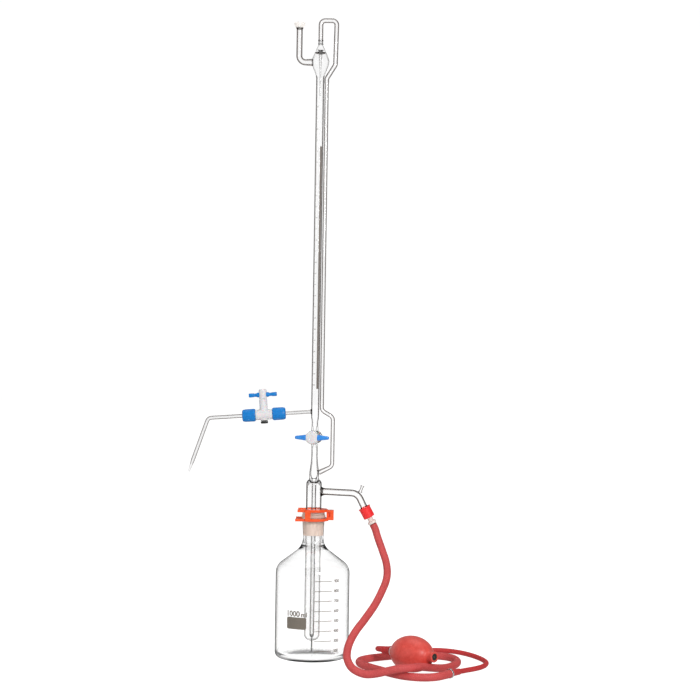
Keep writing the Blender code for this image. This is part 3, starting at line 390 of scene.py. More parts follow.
def bumped(tree, heights):
    """The normal after a stack of bumps, each a height field with its depth in metres."""
    normal = None
    for height, depth in heights:
        made = node(tree, "ShaderNodeBump", Height=height, Distance=depth, Strength=1.0)
        if normal:
            tree.links.new(normal, made.inputs["Normal"])
        normal = made.outputs["Normal"]
    return normal


def mixed(tree, share, first, second):
    """Two shaders mixed, with share of the second."""
    made = node(tree, "ShaderNodeMixShader", Fac=share)
    tree.links.new(first, made.inputs[1])
    tree.links.new(second, made.inputs[2])
    return made.outputs["Shader"]


GLASS_IOR = 1.47
FACING_BLEND = 0.5  # Layer Weight's own middle: its Facing is then one less the cosine of the angle
GLASS_SHADOW = (0.93, 0.93, 0.92, 1.0)


def glass(name, clear_until, dark_from, rim, clear=0.985, ior=GLASS_IOR):
    """Clear borosilicate with painted edge shade: colourless seen square on, painted grey-brown seen edge on.

    Facing runs from 0, square on, to 1, edge on. The glass is clear until one value of it, and has the
    rim's display colour, as painted shade, from another; its reflections are painted darker towards the edge
    too.
    """
    made, tree, output = new_material(name)
    rim = srgb(*rim)
    layer = node(tree, "ShaderNodeLayerWeight", Blend=FACING_BLEND)
    facing = layer.outputs["Facing"]
    # painted shade: the refraction colour turns grey-brown and the reflections dim towards the edge
    painted_edge_shade = ramp(tree, facing, [(clear_until, clear), (dark_from, rim), (1.0, rim)])
    painted_reflection_shade = ramp(tree, facing, [(0.0, 0.9), (clear_until, 0.7), (dark_from, 0.3), (1.0, 0.15)])
    bend = node(tree, "ShaderNodeBsdfRefraction", Color=painted_edge_shade, Roughness=0.0, IOR=ior)
    mirror = node(tree, "ShaderNodeBsdfGlossy", Color=painted_reflection_shade, Roughness=0.02)
    share = node(tree, "ShaderNodeFresnel", IOR=ior).outputs["Fac"]
    body = mixed(tree, share, bend.outputs["BSDF"], mirror.outputs["BSDF"])
    through = node(tree, "ShaderNodeBsdfTransparent", Color=GLASS_SHADOW).outputs["BSDF"]
    shadow = tree.nodes.new("ShaderNodeLightPath").outputs["Is Shadow Ray"]
    tree.links.new(mixed(tree, shadow, body, through), output.inputs["Surface"])
    return made


def solid(name, dark, light, scale, roughness, bumps=(), stretch=(1.0, 1.0, 1.0), **sockets):
    """A mottled solid: colour and roughness drift between two values, with bumps of (scale, depth)."""
    made, tree, output = new_material(name)
    drift = noise(tree, scale, detail=4.0, roughness=0.6, stretch=stretch)
    color = ramp(tree, drift, [(0.30, srgb(*dark)), (0.70, srgb(*light))])
    rough = node(
        tree, "ShaderNodeMapRange", Value=drift, To_Min=roughness[0], To_Max=roughness[1]
    ).outputs["Result"]
    shader = node(tree, "ShaderNodeBsdfPrincipled", Base_Color=color, Roughness=rough, **sockets)
    if bumps:
        heights = [(noise(tree, size, detail=2.0, stretch=stretch), depth) for size, depth in bumps]
        tree.links.new(bumped(tree, heights), shader.inputs["Normal"])
    tree.links.new(shader.outputs["BSDF"], output.inputs["Surface"])
    return made


def frosted_glass(name, dark, light):
    """Glass ground matt, such as the joint's: pale, and it glows with the light behind it."""
    made, tree, output = new_material(name)
    drift = noise(tree, 900.0, detail=4.0, roughness=0.6, stretch=(1.0, 1.0, 0.35))
    color = ramp(tree, drift, [(0.25, srgb(*dark)), (0.75, srgb(*light))])
    normal = bumped(tree, [(noise(tree, 4000.0, detail=2.0), 0.00004)])
    shader = node(tree, "ShaderNodeBsdfPrincipled", Base_Color=color, Roughness=0.75, Normal=normal)
    glow = node(tree, "ShaderNodeBsdfTranslucent", Color=color, Normal=normal)
    both = mixed(tree, 0.5, shader.outputs["BSDF"], glow.outputs["BSDF"])
    tree.links.new(both, output.inputs["Surface"])
    return made


def cloth_rubber(name, dark, light, pale, speckle_scale):
    """Wrapped-cured rubber: matt, with the fine cloth print and the speckle that the wrapping leaves."""
    made, tree, output = new_material(name)
    fine = noise(tree, speckle_scale, detail=5.0, roughness=0.7)
    broad = noise(tree, 60.0, detail=2.0)
    color = ramp(tree, fine, [(0.28, srgb(*dark)), (0.52, srgb(*light)), (0.78, srgb(*pale))])
    worn = ramp(tree, broad, [(0.30, 0.88), (0.70, 1.0)])
    tinted = tree.nodes.new("ShaderNodeMix")
    tinted.data_type = "RGBA"
    tinted.blend_type = "MULTIPLY"
    tinted.inputs["Factor"].default_value = 1.0
    tree.links.new(color, tinted.inputs["A"])
    tree.links.new(worn, tinted.inputs["B"])
    weave = node(
        tree, "ShaderNodeTexWave", Scale=520.0, Distortion=2.0,
        Vector=tree.nodes.new("ShaderNodeTexCoord").outputs["Object"],
    ).outputs["Fac"]
    normal = bumped(tree, [(fine, 0.00012), (weave, 0.00003)])
    rough = node(tree, "ShaderNodeMapRange", Value=fine, To_Min=0.55, To_Max=0.75).outputs["Result"]
    shader = node(
        tree, "ShaderNodeBsdfPrincipled", Base_Color=tinted.outputs["Result"], Roughness=rough, Normal=normal,
    )
    tree.links.new(shader.outputs["BSDF"], output.inputs["Surface"])
    return made


# Each glass below has its own painted edge shade: the facing where it starts, and the rim's colour.
JACKET_GLASS = glass("jacket_glass", 0.34, 0.55, (122, 115, 111))
GUARD_GLASS = glass("guard_glass", 0.50, 0.74, (158, 153, 150))
STEM_GLASS = glass("stem_glass", 0.16, 0.45, (146, 139, 135))
BURETTE_GLASS = glass("burette_glass", 0.36, 0.60, (120, 113, 109), ior=1.30)
TUBE_GLASS = glass("tube_glass", 0.14, 0.42, (180, 173, 169), ior=1.35)
SWELL_GLASS = glass("swell_glass", 0.55, 0.92, (196, 192, 190), ior=1.30)
BOTTLE_GLASS = glass("bottle_glass", 0.66, 0.86, (84, 80, 77))
# painted light: a paler copy of the bottle glass, with little painted edge shade, for the shoulder's slope
LIT_SLOPE_GLASS = glass("lit_slope_glass", 0.70, 1.0, (206, 203, 201))
BARE_GLASS = glass("bare_glass", 0.80, 1.0, (244, 243, 242))
ARM_GLASS = glass("arm_glass", 0.10, 0.50, (204, 201, 199), 0.95, 1.18)
TIP_GLASS = glass("tip_glass", 0.15, 0.60, (206, 203, 201), ior=1.15)
SEAM_GLASS = glass("seam_glass", 0.0, 0.45, (92, 84, 80), 0.45)
CAPILLARY_GLASS = glass("capillary_glass", 0.0, 0.45, (132, 124, 118), 0.72)
FROSTED = frosted_glass("frosted_glass", (240, 224, 213), (250, 238, 229))
MATT_RIM = frosted_glass("matt_rim", (246, 243, 240), (253, 251, 249))
ENAMEL = solid("enamel_print", (112, 104, 94), (136, 128, 117), 1500.0, (0.55, 0.75),
               [(3000.0, 0.00003)])
STRIPE = solid("reading_stripe", (104, 96, 90), (124, 116, 109), 400.0, (0.35, 0.5),
               [(2000.0, 0.00002)], (1.0, 1.0, 0.05))
PTFE = solid("ptfe", (222, 219, 221), (234, 231, 232), 350.0, (0.38, 0.52),
             [(1400.0, 0.00004), (250.0, 0.00008)], Subsurface_Weight=0.15, Subsurface_Scale=0.002)
BLUE = solid("blue_plastic", (0, 112, 190), (0, 136, 220), 500.0, (0.34, 0.48),
             [(1800.0, 0.00005)], Specular_IOR_Level=0.35)
PALE_BLUE = solid("pale_blue_plastic", (30, 128, 220), (62, 154, 238), 300.0, (0.28, 0.42),
                  [(1500.0, 0.00004)])
ORANGE = solid("orange_plastic", (250, 74, 14), (255, 98, 34), 220.0, (0.16, 0.30),
               [(600.0, 0.00005)], Coat_Weight=0.4, Coat_Roughness=0.12)
RED = solid("red_plastic", (246, 34, 38), (255, 56, 58), 260.0, (0.30, 0.45),
            [(900.0, 0.00005)])
CREAM = solid("cream_plastic", (226, 208, 200), (242, 228, 221), 300.0, (0.35, 0.5),
              [(1200.0, 0.00004)])
SILICONE = solid("silicone_seal", (190, 92, 74), (208, 112, 92), 500.0, (0.5, 0.7))
BLACK = solid("black_rubber", (18, 19, 18), (40, 42, 38), 900.0, (0.5, 0.75), [(2500.0, 0.00005)])
DISC = solid("valve_disc", (38, 42, 36), (86, 88, 74), 1400.0, (0.45, 0.7), [(1600.0, 0.0001)])
STEEL = solid("bright_steel", (188, 188, 190), (226, 226, 228), 700.0, (0.18, 0.34),
              [(2500.0, 0.00002)], (1.0, 1.0, 0.1), Metallic=1.0)
HOSE = cloth_rubber("hose_rubber", (176, 52, 52), (214, 78, 78), (232, 122, 118), 1300.0)
TUBE = cloth_rubber("tube_rubber", (176, 30, 34), (206, 48, 50), (222, 84, 80), 1800.0)
BULB = solid("bulb_rubber", (212, 66, 56), (230, 86, 74), 240.0, (0.34, 0.50),
             [(1500.0, 0.00005), (90.0, 0.0003)], Sheen_Weight=0.15, Sheen_Roughness=0.4)


# ---- camera, light and floor ----
def seen_or_lit(tree, seen, lit):
    """A strength for the rays that see a surface, straight or through glass, and another for its light."""
    rays = tree.nodes.new("ShaderNodeLightPath")
    either = tree.nodes.new("ShaderNodeMath")
    either.operation = "MAXIMUM"
    tree.links.new(rays.outputs["Is Camera Ray"], either.inputs[0])
    tree.links.new(rays.outputs["Is Transmission Ray"], either.inputs[1])
    return node(
        tree, "ShaderNodeMapRange", Value=either.outputs["Value"], To_Min=lit, To_Max=seen
    ).outputs["Result"]


CAMERA_AT = (0.0466, -2.0, 0.3779)
CAMERA_PITCH = math.radians(91.205)  # 90 degrees looks level
CAMERA_ROLL = math.radians(0.85)
LENS_MM = 74.88
SENSOR_MM = 36.0
LAMPS_AIM_AT = Vector((0.05, -0.03, 0.25))


def studio():
    camera = bpy.data.cameras.new("camera")
    camera.lens = LENS_MM
    camera.sensor_width = SENSOR_MM
    camera.clip_end = 50.0
    obj = add_object("camera", camera)
    turn = Matrix.Rotation(CAMERA_PITCH, 4, "X") @ Matrix.Rotation(CAMERA_ROLL, 4, "Z")
    obj.matrix_world = Matrix.Translation(CAMERA_AT) @ turn
    bpy.context.scene.camera = obj

    for name, place, size, power in (
        ("key", (0.75, -1.8, 1.0), 0.6, 25.0),
        ("fill", (-1.5, -1.1, 0.8), 1.2, 6.0),
        ("top", (0.0, 0.3, 2.3), 1.6, 15.0),
    ):
        lamp = bpy.data.lights.new(name, "AREA")
        lamp.size = size
        lamp.energy = power
        obj = add_object(name, lamp)
        obj.location = place
        obj.rotation_euler = (LAMPS_AIM_AT - Vector(place)).to_track_quat("-Z", "Y").to_euler()

    world = bpy.data.worlds.new("studio")
    bpy.context.scene.world = world
    world.use_nodes = True
    tree = world.node_tree
    tree.nodes.clear()
    shown = seen_or_lit(tree, 1.02, 0.26)
    sky = node(tree, "ShaderNodeBackground", Color=(1.0, 1.0, 1.0, 1.0), Strength=shown)
    output = tree.nodes.new("ShaderNodeOutputWorld")
    tree.links.new(sky.outputs["Background"], output.inputs["Surface"])
    bpy.context.scene.view_settings.view_transform = "Standard"


def floor():
    mesh = bpy.data.meshes.new("floor")
    reach = 20.0
    mesh.from_pydata([(-reach, -reach, 0), (reach, -reach, 0), (reach, reach, 0), (-reach, reach, 0)],
                     [], [(0, 1, 2, 3)])
    made, tree, output = new_material("floor_paper")
    grain = noise(tree, 40.0, 3.0)
    color = ramp(tree, grain, [(0.3, 0.34), (0.7, 0.36)])
    paper = node(tree, "ShaderNodeBsdfDiffuse", Color=color)
    shown = seen_or_lit(tree, 1.0, 0.34)
    glow = node(tree, "ShaderNodeEmission", Color=(1.0, 1.0, 1.0, 1.0), Strength=shown)
    added = tree.nodes.new("ShaderNodeAddShader")
    tree.links.new(paper.outputs["BSDF"], added.inputs[0])
    tree.links.new(glow.outputs["Emission"], added.inputs[1])
    tree.links.new(added.outputs["Shader"], output.inputs["Surface"])
    mesh.materials.append(made)
    obj = add_object("floor", mesh)


# ---- cords ----
CLAMP_TILT = math.radians(-9.0)
CLAMP_BACK = 0.0030  # from the hose's end back to the clamp's middle
REDUCER_GAP = 0.0005


def cord_curve(name, path, radius, finish, replaced):
    curve = bpy.data.curves.new(name, "CURVE")
    curve.dimensions = "3D"
    curve.bevel_depth = radius
    curve.bevel_resolution = 7
    curve.use_fill_caps = True
    spline = curve.splines.new("POLY")
    spline.points.add(len(path) - 1)
    for point, place in zip(spline.points, path):
        point.co = (*place, 1.0)
    spline.use_smooth = True
    return linked(name, curve, "head", [finish], (replaced,))


def hose_clamp(end, along):
    """A rolled steel band round the hose's end, set a little askew."""
    tilt = Quaternion(Vector((0.0, 0.0, 1.0)), CLAMP_TILT) @ along
    outline = [(0.0062, 0.0012), (0.0062, -0.0012), (0.0054, -0.0012), (0.0054, 0.0012)]
    return turned("steel_clamp", outline, "head", "bright_steel", STEEL, ("hose_clamp",), (0.0004, 3),
                  steps=48, place=axis_matrix(end - along * CLAMP_BACK, tilt))


def hose_reducer(start, toward):
    """The rubber cuff that steps the hose down to the thin tube."""
    outline = [(0.0, 0.0), (0.0050, 0.0), (0.0049, 0.0030), (0.0044, 0.0062), (0.0042, 0.0120),
               (0.0040, 0.0180), (0.0041, 0.0196), (0.0036, 0.0202), (0.0, 0.0202)]
    return turned("rubber_reducer", outline, "head", "tube_rubber", TUBE, ("hose_reducer",), (0.0012, 4),
                  steps=40, place=axis_matrix(start, toward))


def pressure_hose():
    """The hose from its connector to the clamp, with the reducer that takes the thin tube."""
    hose_path = smooth_path(HOSE_ROUTE, CORD_STEP)
    hose = cord_curve("rubber_hose", hose_path, HOSE_RADIUS, HOSE, "pressure_hose")
    end = Vector(HOSE_ROUTE[-1])
    along = (end - Vector(HOSE_ROUTE[-2])).normalized()
    clamp = hose_clamp(end, along)
    start = end + along * REDUCER_GAP
    reducer = hose_reducer(start, Vector(TUBE_ROUTE[-1]) - start)


def bulb_tube():
    """The thin tube between the reducer and the hand bulb, which is the fitting at its far end."""
    tube_path = smooth_path(TUBE_ROUTE, CORD_STEP)
    tube = cord_curve("rubber_tube", tube_path, TUBE_RADIUS, TUBE, "bulb_tube")
    bulb_pieces = hand_bulb()


# ---- the hand bulb ----
def egg(radius, half_length, start_deg, end_deg):
    """The hand bulb's outline as an ellipse, its angles counted from the inlet end."""
    circle = arc((0.0, 0.0), 1.0, 90.0 - start_deg, 90.0 - end_deg, 28)
    return [(radius * x, half_length * z) for x, z in circle]


def hand_bulb():
    """The rubber bulb with its valve disc, collar and ribbed fitting, all turned about one axis."""
    place = axis_matrix(HAND_BULB_AT, HAND_BULB_DIRECTION)
    outer = [(0.0050, 0.0410), (0.0066, 0.0410), (0.0070, 0.0402), (0.0068, 0.0392), (0.0064, 0.0380)]
    outer += [(0.0064, 0.0345), (0.0069, 0.0325), (0.0082, 0.0307)]
    outer += egg(HAND_BULB_RADIUS, HAND_BULB_HALF_LENGTH, 23.5, 159.0)
    outer += [(0.0076, -0.0322), (0.0072, -0.0334), (0.0070, -0.0345), (0.0050, -0.0345)]
    inner = [(0.0046, -0.0345)]
    inner += egg(HAND_BULB_RADIUS - HAND_BULB_WALL, HAND_BULB_HALF_LENGTH - HAND_BULB_WALL, 167.0, 13.0)
    inner += [(0.0046, 0.0360), (0.0046, 0.0410)]
    bulb = turned("bulb_body", outer + inner, "head", "bulb_rubber", BULB, ("rubber_bulb",),
                  steps=72, place=place)

    disc = [(0.0, 0.0402), (0.0012, 0.0402), (0.0016, 0.0399), (0.0036, 0.0399), (0.0040, 0.0403),
            (0.0045, 0.0402), (0.0045, 0.0385), (0.0, 0.0385)]
    valve_disc = turned("valve_disc", disc, "head", "black_rubber", DISC, soft=(0.0002, 2),
                        steps=40, place=place)

    collar = [(0.0065, -0.0347), (0.0065, -0.0367), (0.0030, -0.0367), (0.0030, -0.0347)]
    white_collar = turned("white_collar", collar, "head", "ptfe", PTFE, ("bulb_collar",), (0.0004, 3),
                          steps=48, place=place)

    ribs = [(0.0030, -0.0369), (0.0066, -0.0369), (0.0067, -0.0379)]
    for i in range(1, 4):
        low = -0.0369 - 0.0044 * i
        wide = 0.0066 - 0.0006 * i
        ribs += [(wide + 0.0002, low + 0.0014), (wide - 0.0005, low + 0.0007), (wide - 0.0005, low + 0.0002),
                 (wide + 0.0001, low)]
    ribs += [(0.0045, -0.0530), (0.0042, -0.0545), (0.0030, -0.0545)]
    fitting = turned("ribbed_fitting", ribs, "head", "tube_rubber", TUBE, ("outlet_fitting",), (0.0003, 3),
                     steps=48, place=place)
    return [bulb, valve_disc, white_collar, fitting]


# ---- the reservoir ----
BOTTLE_SIDES = 128
SOCKET_MATT_RADIUS = 0.01345  # faces nearer to the axis than this are the socket's own
SLOPE_Z = (0.1215, 0.1490)  # the shoulder's slope outside, whose glass has a paler painted edge shade: painted light
BASE_MIDDLE_RADIUS = 0.0400
BASE_MIDDLE_Z = 0.0050


def bottle_finish(center, inside):
    """The material slot of a face: 0 the glass, 1 ground matt, 2 with almost no painted edge shade, 3 the
    slope with a paler painted edge shade, which is painted light.
    """
    radius = from_axis(center)
    if center.z > MATT_RIM_FROM_Z or (center.z > MATT_FROM_Z and radius < SOCKET_MATT_RADIUS):
        return 1
    if inside or (radius < BASE_MIDDLE_RADIUS and center.z < BASE_MIDDLE_Z):
        return 2
    if SLOPE_Z[0] < center.z < SLOPE_Z[1]:
        return 3
    return 0


def bottle():
    """The reservoir, its outline down the outside and up again inside."""
    outside = soften([(0.0163, BOTTLE_RIM_Z), (0.0163, 0.1899), (0.0153, 0.1899), (0.0141, 0.1640)],
                     0.0008, 4, closed=False)
    outside += arc((0.0360, 0.1623), 0.0220, 180.0, 180.0 + SHOULDER_ARC_DEG)
    outside += arc(SHOULDER_AT, 0.0180, SHOULDER_ARC_DEG, 0.0)
    outside += arc((0.0435, 0.0070), 0.0070, 0.0, -90.0)
    outside += [(0.0330, 0.0), (0.0290, 0.0012), (0.0, 0.0014)]
    inside = [(0.0, 0.0040), (0.0300, 0.0040)] + arc((0.0415, 0.0107), 0.0067, 270.0, 360.0)
    inside += arc(SHOULDER_AT, 0.0157, 0.0, SHOULDER_ARC_DEG)
    inside += arc((0.01556, 0.1548), 0.0042, 180.0 + SHOULDER_ARC_DEG, 180.0)
    inside += [(0.0119, MATT_FROM_Z), (0.0133, BOTTLE_RIM_Z)]
    mesh = turned_mesh("bottle_glass", outside + inside, BOTTLE_SIDES)
    first_inside = len(outside) * BOTTLE_SIDES
    for face in mesh.polygons:
        face.material_index = bottle_finish(face.center, min(face.vertices) >= first_inside)
    linked("bottle_glass", mesh, "reservoir", [BOTTLE_GLASS, FROSTED, BARE_GLASS, LIT_SLOPE_GLASS],
           ("reservoir_bottle",))


# ---- printed marks ----
def add_bar(work, left, right, low, high):
    """A flat rectangle in the X-Z plane of a bmesh."""
    rectangle = ((left, low), (right, low), (right, high), (left, high))
    corners = [work.verts.new((x, 0.0, z)) for x, z in rectangle]
    work.faces.new(corners)


def add_rounded_bar(work, left, right, low, high, radius):
    """A flat rectangle with rounded corners in the X-Z plane of a bmesh."""
    corners = []
    for x, z, start in ((right, high, 0), (left, high, 90), (left, low, 180), (right, low, 270)):
        cx = x - radius if x == right else x + radius
        cz = z - radius if z == high else z + radius
        corners += arc((cx, cz), radius, start, start + 90, 5)
    work.faces.new([work.verts.new((x, 0.0, z)) for x, z in corners])


def add_text(work, text, size, left, low, weight):
    """A line of text in the X-Z plane, from its left end and baseline, its strokes widened by weight."""
    curve = bpy.data.curves.new(text, "FONT")
    curve.body = text
    curve.size = size
    curve.offset = weight
    obj = add_object(text, curve)
    bpy.context.view_layer.update()
    mesh = bpy.data.meshes.new_from_object(obj.evaluated_get(bpy.context.evaluated_depsgraph_get()))
    mesh.transform(Matrix.Translation((left, 0.0, low)) @ Matrix.Rotation(math.pi / 2, 4, "X"))
    work.from_mesh(mesh)
    bpy.data.objects.remove(obj, do_unlink=True)
    bpy.data.curves.remove(curve)
    bpy.data.meshes.remove(mesh)


def printed(name, work, radius, step, thickness, finish, body):
    """Flat marks wrapped round a tube's outside, their X as the arc from the front."""
    bmesh.ops.remove_doubles(work, verts=work.verts, dist=SAME_POINT)
    reach = max(abs(v.co.x) for v in work.verts)
    cuts = int(reach / step) + 1
    for i in range(-cuts, cuts + 1):
        everything = [*work.verts, *work.edges, *work.faces]
        bmesh.ops.bisect_plane(work, geom=everything, plane_co=(i * step, 0, 0), plane_no=(1, 0, 0))
    for vertex in work.verts:
        angle = vertex.co.x / radius
        vertex.co = Vector((radius * math.sin(angle), -radius * math.cos(angle), vertex.co.z))
    bmesh.ops.recalc_face_normals(work, faces=work.faces)
    for face in work.faces:
        outward = face.calc_center_median()
        outward.z = 0.0
        if face.normal.dot(outward) < 0.0:
            face.normal_flip()
    mesh = bpy.data.meshes.new(name)
    work.to_mesh(mesh)
    work.free()
    obj = linked(name, mesh, body, [finish])
    skin = obj.modifiers.new("ink", "SOLIDIFY")
    skin.thickness = thickness
    skin.offset = 1.0
    return obj


FIRST_MARK_Z = 0.1089  # the bottle's 900 ml
MARK_SPACING = 0.01331
ZERO_Z = 0.7537  # the burette's zero
MILLILITRE = 0.01530
BURETTE_ML = 25
INK_GAP = 0.00002  # ink starts this far outside the burette


def bottle_marks():
    """The marks from 900 down to 200, the volume and the patch under it."""
    work = bmesh.new()
    for i in range(8):
        z = FIRST_MARK_Z - MARK_SPACING * i
        add_bar(work, 0.0044, 0.0289, z - 0.00040, z + 0.00040)
        add_text(work, str(900 - 100 * i), 0.0054, 0.0322, z - 0.0019, 0.00012)
    add_text(work, "1000", 0.0104, -0.0362, 0.0615, 0.00025)
    add_text(work, "ml", 0.0084, -0.0138, 0.0615, 0.00025)
    add_rounded_bar(work, -0.0352, -0.0064, 0.0445, 0.0604, 0.0022)
    printed("bottle_marks", work, BOTTLE_RADIUS + 0.00003, 0.0020, 0.0001, ENAMEL, "reservoir")


def burette_marks():
    """The scale, 25 ml in tenths, read at the left of the front, and the stripe that shows the level."""
    work = bmesh.new()
    for tenth in range(10 * BURETTE_ML + 1):
        z = ZERO_Z - MILLILITRE * tenth / 10
        whole = tenth % 10 == 0
        half = tenth % 5 == 0
        right = -0.0034 if whole else (-0.0044 if half else -0.0050)
        thick = 0.00016 if whole else 0.00008
        add_bar(work, -0.0070, right, z - thick, z + thick)
        if whole:
            add_text(work, str(tenth // 10), 0.0021, -0.0031, z - 0.0007, 0.00005)
    printed("burette_scale", work, BURETTE_RADIUS + INK_GAP, 0.0004, 0.00006, ENAMEL, "head")
    work = bmesh.new()
    add_bar(work, 0.0012, 0.0042, 0.3658, 0.6992)
    printed("burette_stripe", work, BURETTE_RADIUS + INK_GAP, 0.0003, 0.00008, STRIPE, "head")


# ---- the joint clip ----
def prism(outline, low, high):
    """A closed bmesh body from an outline in the X-Y plane."""
    work = bmesh.new()
    base = work.faces.new([work.verts.new((x, y, low)) for x, y in outline])
    raised = bmesh.ops.extrude_face_region(work, geom=[base])
    moved = [item for item in raised["geom"] if isinstance(item, bmesh.types.BMVert)]
    bmesh.ops.translate(work, verts=moved, vec=(0, 0, high - low))
    bmesh.ops.recalc_face_normals(work, faces=work.faces)
    return work


CLIP_REACH_DEG = 125.0  # a ring reaches this far round from +X, to either side
CLIP_POST_Z = (0.1868, 0.2003)


def clip_ring(outer, inner, tip, low, high):
    """An open ring whose ends flare out to tip, given as its X and its outer and inner Y."""
    tip_x, tip_outer, tip_inner = tip
    outline = arc((0.0, 0.0), outer, -CLIP_REACH_DEG, CLIP_REACH_DEG, 48)
    outline += [(tip_x, tip_outer), (tip_x, tip_inner)]
    outline += arc((0.0, 0.0), inner, CLIP_REACH_DEG, -CLIP_REACH_DEG, 48)
    outline += [(tip_x, -tip_inner), (tip_x, -tip_outer)]
    return prism(outline, low, high)


def box_outline(x_low, x_high, y_low, y_high):
    return [(x_low, y_low), (x_high, y_low), (x_high, y_high), (x_low, y_high)]


def joined(name, parts, cuts=()):
    """One mesh from closed bmesh bodies, added up and then cut by Booleans."""
    objects = []
    for i, work in enumerate([*parts, *cuts]):
        mesh = bpy.data.meshes.new(f"{name}_{i}")
        work.to_mesh(mesh)
        work.free()
        objects.append(add_object(f"{name}_{i}", mesh))
    for i, other in enumerate(objects[1:], start=1):
        step = objects[0].modifiers.new("join", "BOOLEAN")
        step.operation = "UNION" if i < len(parts) else "DIFFERENCE"
        step.solver = "EXACT"
        step.object = other
    bpy.context.view_layer.update()
    mesh = bpy.data.meshes.new_from_object(
        objects[0].evaluated_get(bpy.context.evaluated_depsgraph_get())
    )
    for obj in objects:
        bpy.data.objects.remove(obj, do_unlink=True)
    return mesh


def bevelled(obj, width, segments=3, angle=30.0):
    edge = obj.modifiers.new("edges", "BEVEL")
    edge.width = width
    edge.segments = segments
    edge.limit_method = "ANGLE"
    edge.angle_limit = math.radians(angle)
    edge.harden_normals = True
    obj.data.shade_smooth()
    obj.data.set_sharp_from_angle(angle=math.radians(angle))


def clip():
    """Two open rings, the posts that join them and the slotted block opposite their mouths."""
    parts = [
        clip_ring(0.0206, 0.0158, (-0.0246, 0.0184, 0.0142), 0.1856, 0.1892),
        clip_ring(0.0194, 0.0111, (-0.0216, 0.0166, 0.0116), 0.1979, 0.2015),
    ]
    for y_low, y_high in ((-0.0200, -0.0172), (0.0172, 0.0200)):
        parts.append(prism(box_outline(-0.0112, -0.0036, y_low, y_high), *CLIP_POST_Z))
    parts.append(prism(box_outline(0.0178, 0.0276, -0.0062, 0.0062), *CLIP_POST_Z))
    cuts = []
    for y_low, y_high in ((-0.0070, -0.0030), (0.0030, 0.0070)):
        cuts.append(prism(box_outline(0.0199, 0.0228, y_low, y_high), 0.1912, 0.1976))
    mesh = joined("clip_body", parts, cuts)
    mesh.materials.clear()
    obj = linked("clip_body", mesh, "clip", [ORANGE], ("joint_clip",))
    bevelled(obj, 0.0004)


# ---- the glass head ----
NEAR_AXIS = 0.0032  # faces nearer than this belong to the tubes inside the head
CONE_Z = (MATT_FROM_Z, 0.1985)
CONE_FROM_RADIUS = 0.0108
CAPILLARY_TOP_Z = 0.0305
FEED_TUBE_FROM_Z = 0.2362
HEAD_SEAM_Z = (0.2384, 0.2396)  # where the inner tube is fused into the jacket's top
HEAD_SEAM_RADIUS = (0.0030, 0.0070)
TOP_BULB_FROM_Z = 0.7980
JET_SEAM_Z = (0.8284, 0.8300)  # where the filling jet is fused into the top bulb
JET_SEAM_RADIUS = (0.0, 0.0076)


def lower_head():
    """Feed tube, air jacket, ground cone, guard tube and inner tube: one piece of blown glass."""
    outer = [(0.0050, 0.2906), (0.0043, 0.2850), (0.0043, 0.2731), (0.0052, 0.2621), (0.0065, 0.2521)]
    outer += [(0.0067, 0.2430), (0.0074, 0.2412), (0.0091, 0.2400), (0.0103, 0.2378)]
    outer += [(JACKET_RADIUS, 0.2348), (JACKET_RADIUS, 0.1982), (0.0112, 0.1975), (0.0152, 0.1975)]
    outer += [(0.0152, 0.1941), (0.0130, 0.1939), (0.01159, MATT_FROM_Z), (0.01106, 0.1549)]
    outer += [(JACKET_RADIUS, 0.1545)] + arc((0.0021, GUARD_END_Z), 0.0085, 0.0, -84.0, 12)
    inner = [(0.0024, 0.0233)] + arc((0.0021, GUARD_END_Z), 0.0074, -84.0, 0.0, 12)
    inner += [(0.0095, 0.2340), (0.0089, 0.2370), (0.0062, 0.2390), (0.0038, 0.2384)]
    inner += [(INNER_TUBE_RADIUS, INNER_TUBE_TOP_Z), (INNER_TUBE_RADIUS, 0.0300)]
    inner += [(0.0026, 0.0280), (0.0015, 0.0262)]
    bore = [(0.0007, 0.0262), (0.0017, 0.0285), (0.00205, 0.0310), (0.00205, INNER_TUBE_TOP_Z)]
    bore += [(0.0024, 0.2420), (0.0048, 0.2480), (0.0046, 0.2530), (0.0033, 0.2640), (0.0029, 0.2731)]
    bore += [(0.0029, 0.2850), (0.0015, 0.2906)]
    mesh = turned_mesh("head_lower_glass", soften(outer + inner + bore, 0.0008, 3), 96)
    # A later coat covers an earlier one where their zones meet.
    paint(mesh, 1, CONE_Z, (CONE_FROM_RADIUS, math.inf))
    paint(mesh, 5, (0.0, MATT_FROM_Z), (NEAR_AXIS, math.inf))
    paint(mesh, 6, (0.0, INNER_TUBE_TOP_Z), (0.0, NEAR_AXIS))
    paint(mesh, 3, (0.0, CAPILLARY_TOP_Z), (0.0, NEAR_AXIS))
    paint(mesh, 4, (FEED_TUBE_FROM_Z, math.inf))
    paint(mesh, 2, HEAD_SEAM_Z, HEAD_SEAM_RADIUS)
    finishes = [JACKET_GLASS, FROSTED, SEAM_GLASS, CAPILLARY_GLASS, BURETTE_GLASS, GUARD_GLASS, STEM_GLASS]
    linked("head_lower_glass", mesh, "head", finishes,
           ("ground_cone", "guard_tube", "inner_tube", "feed_tube"))
    capillary = [(0.00115, 0.0258), (0.00115, 0.0074), (0.0010, 0.0068), (0.0005, 0.0068), (0.0005, 0.0258)]
    turned("capillary_glass", capillary, "head", "glass", CAPILLARY_GLASS, ("dip_capillary",), steps=32)


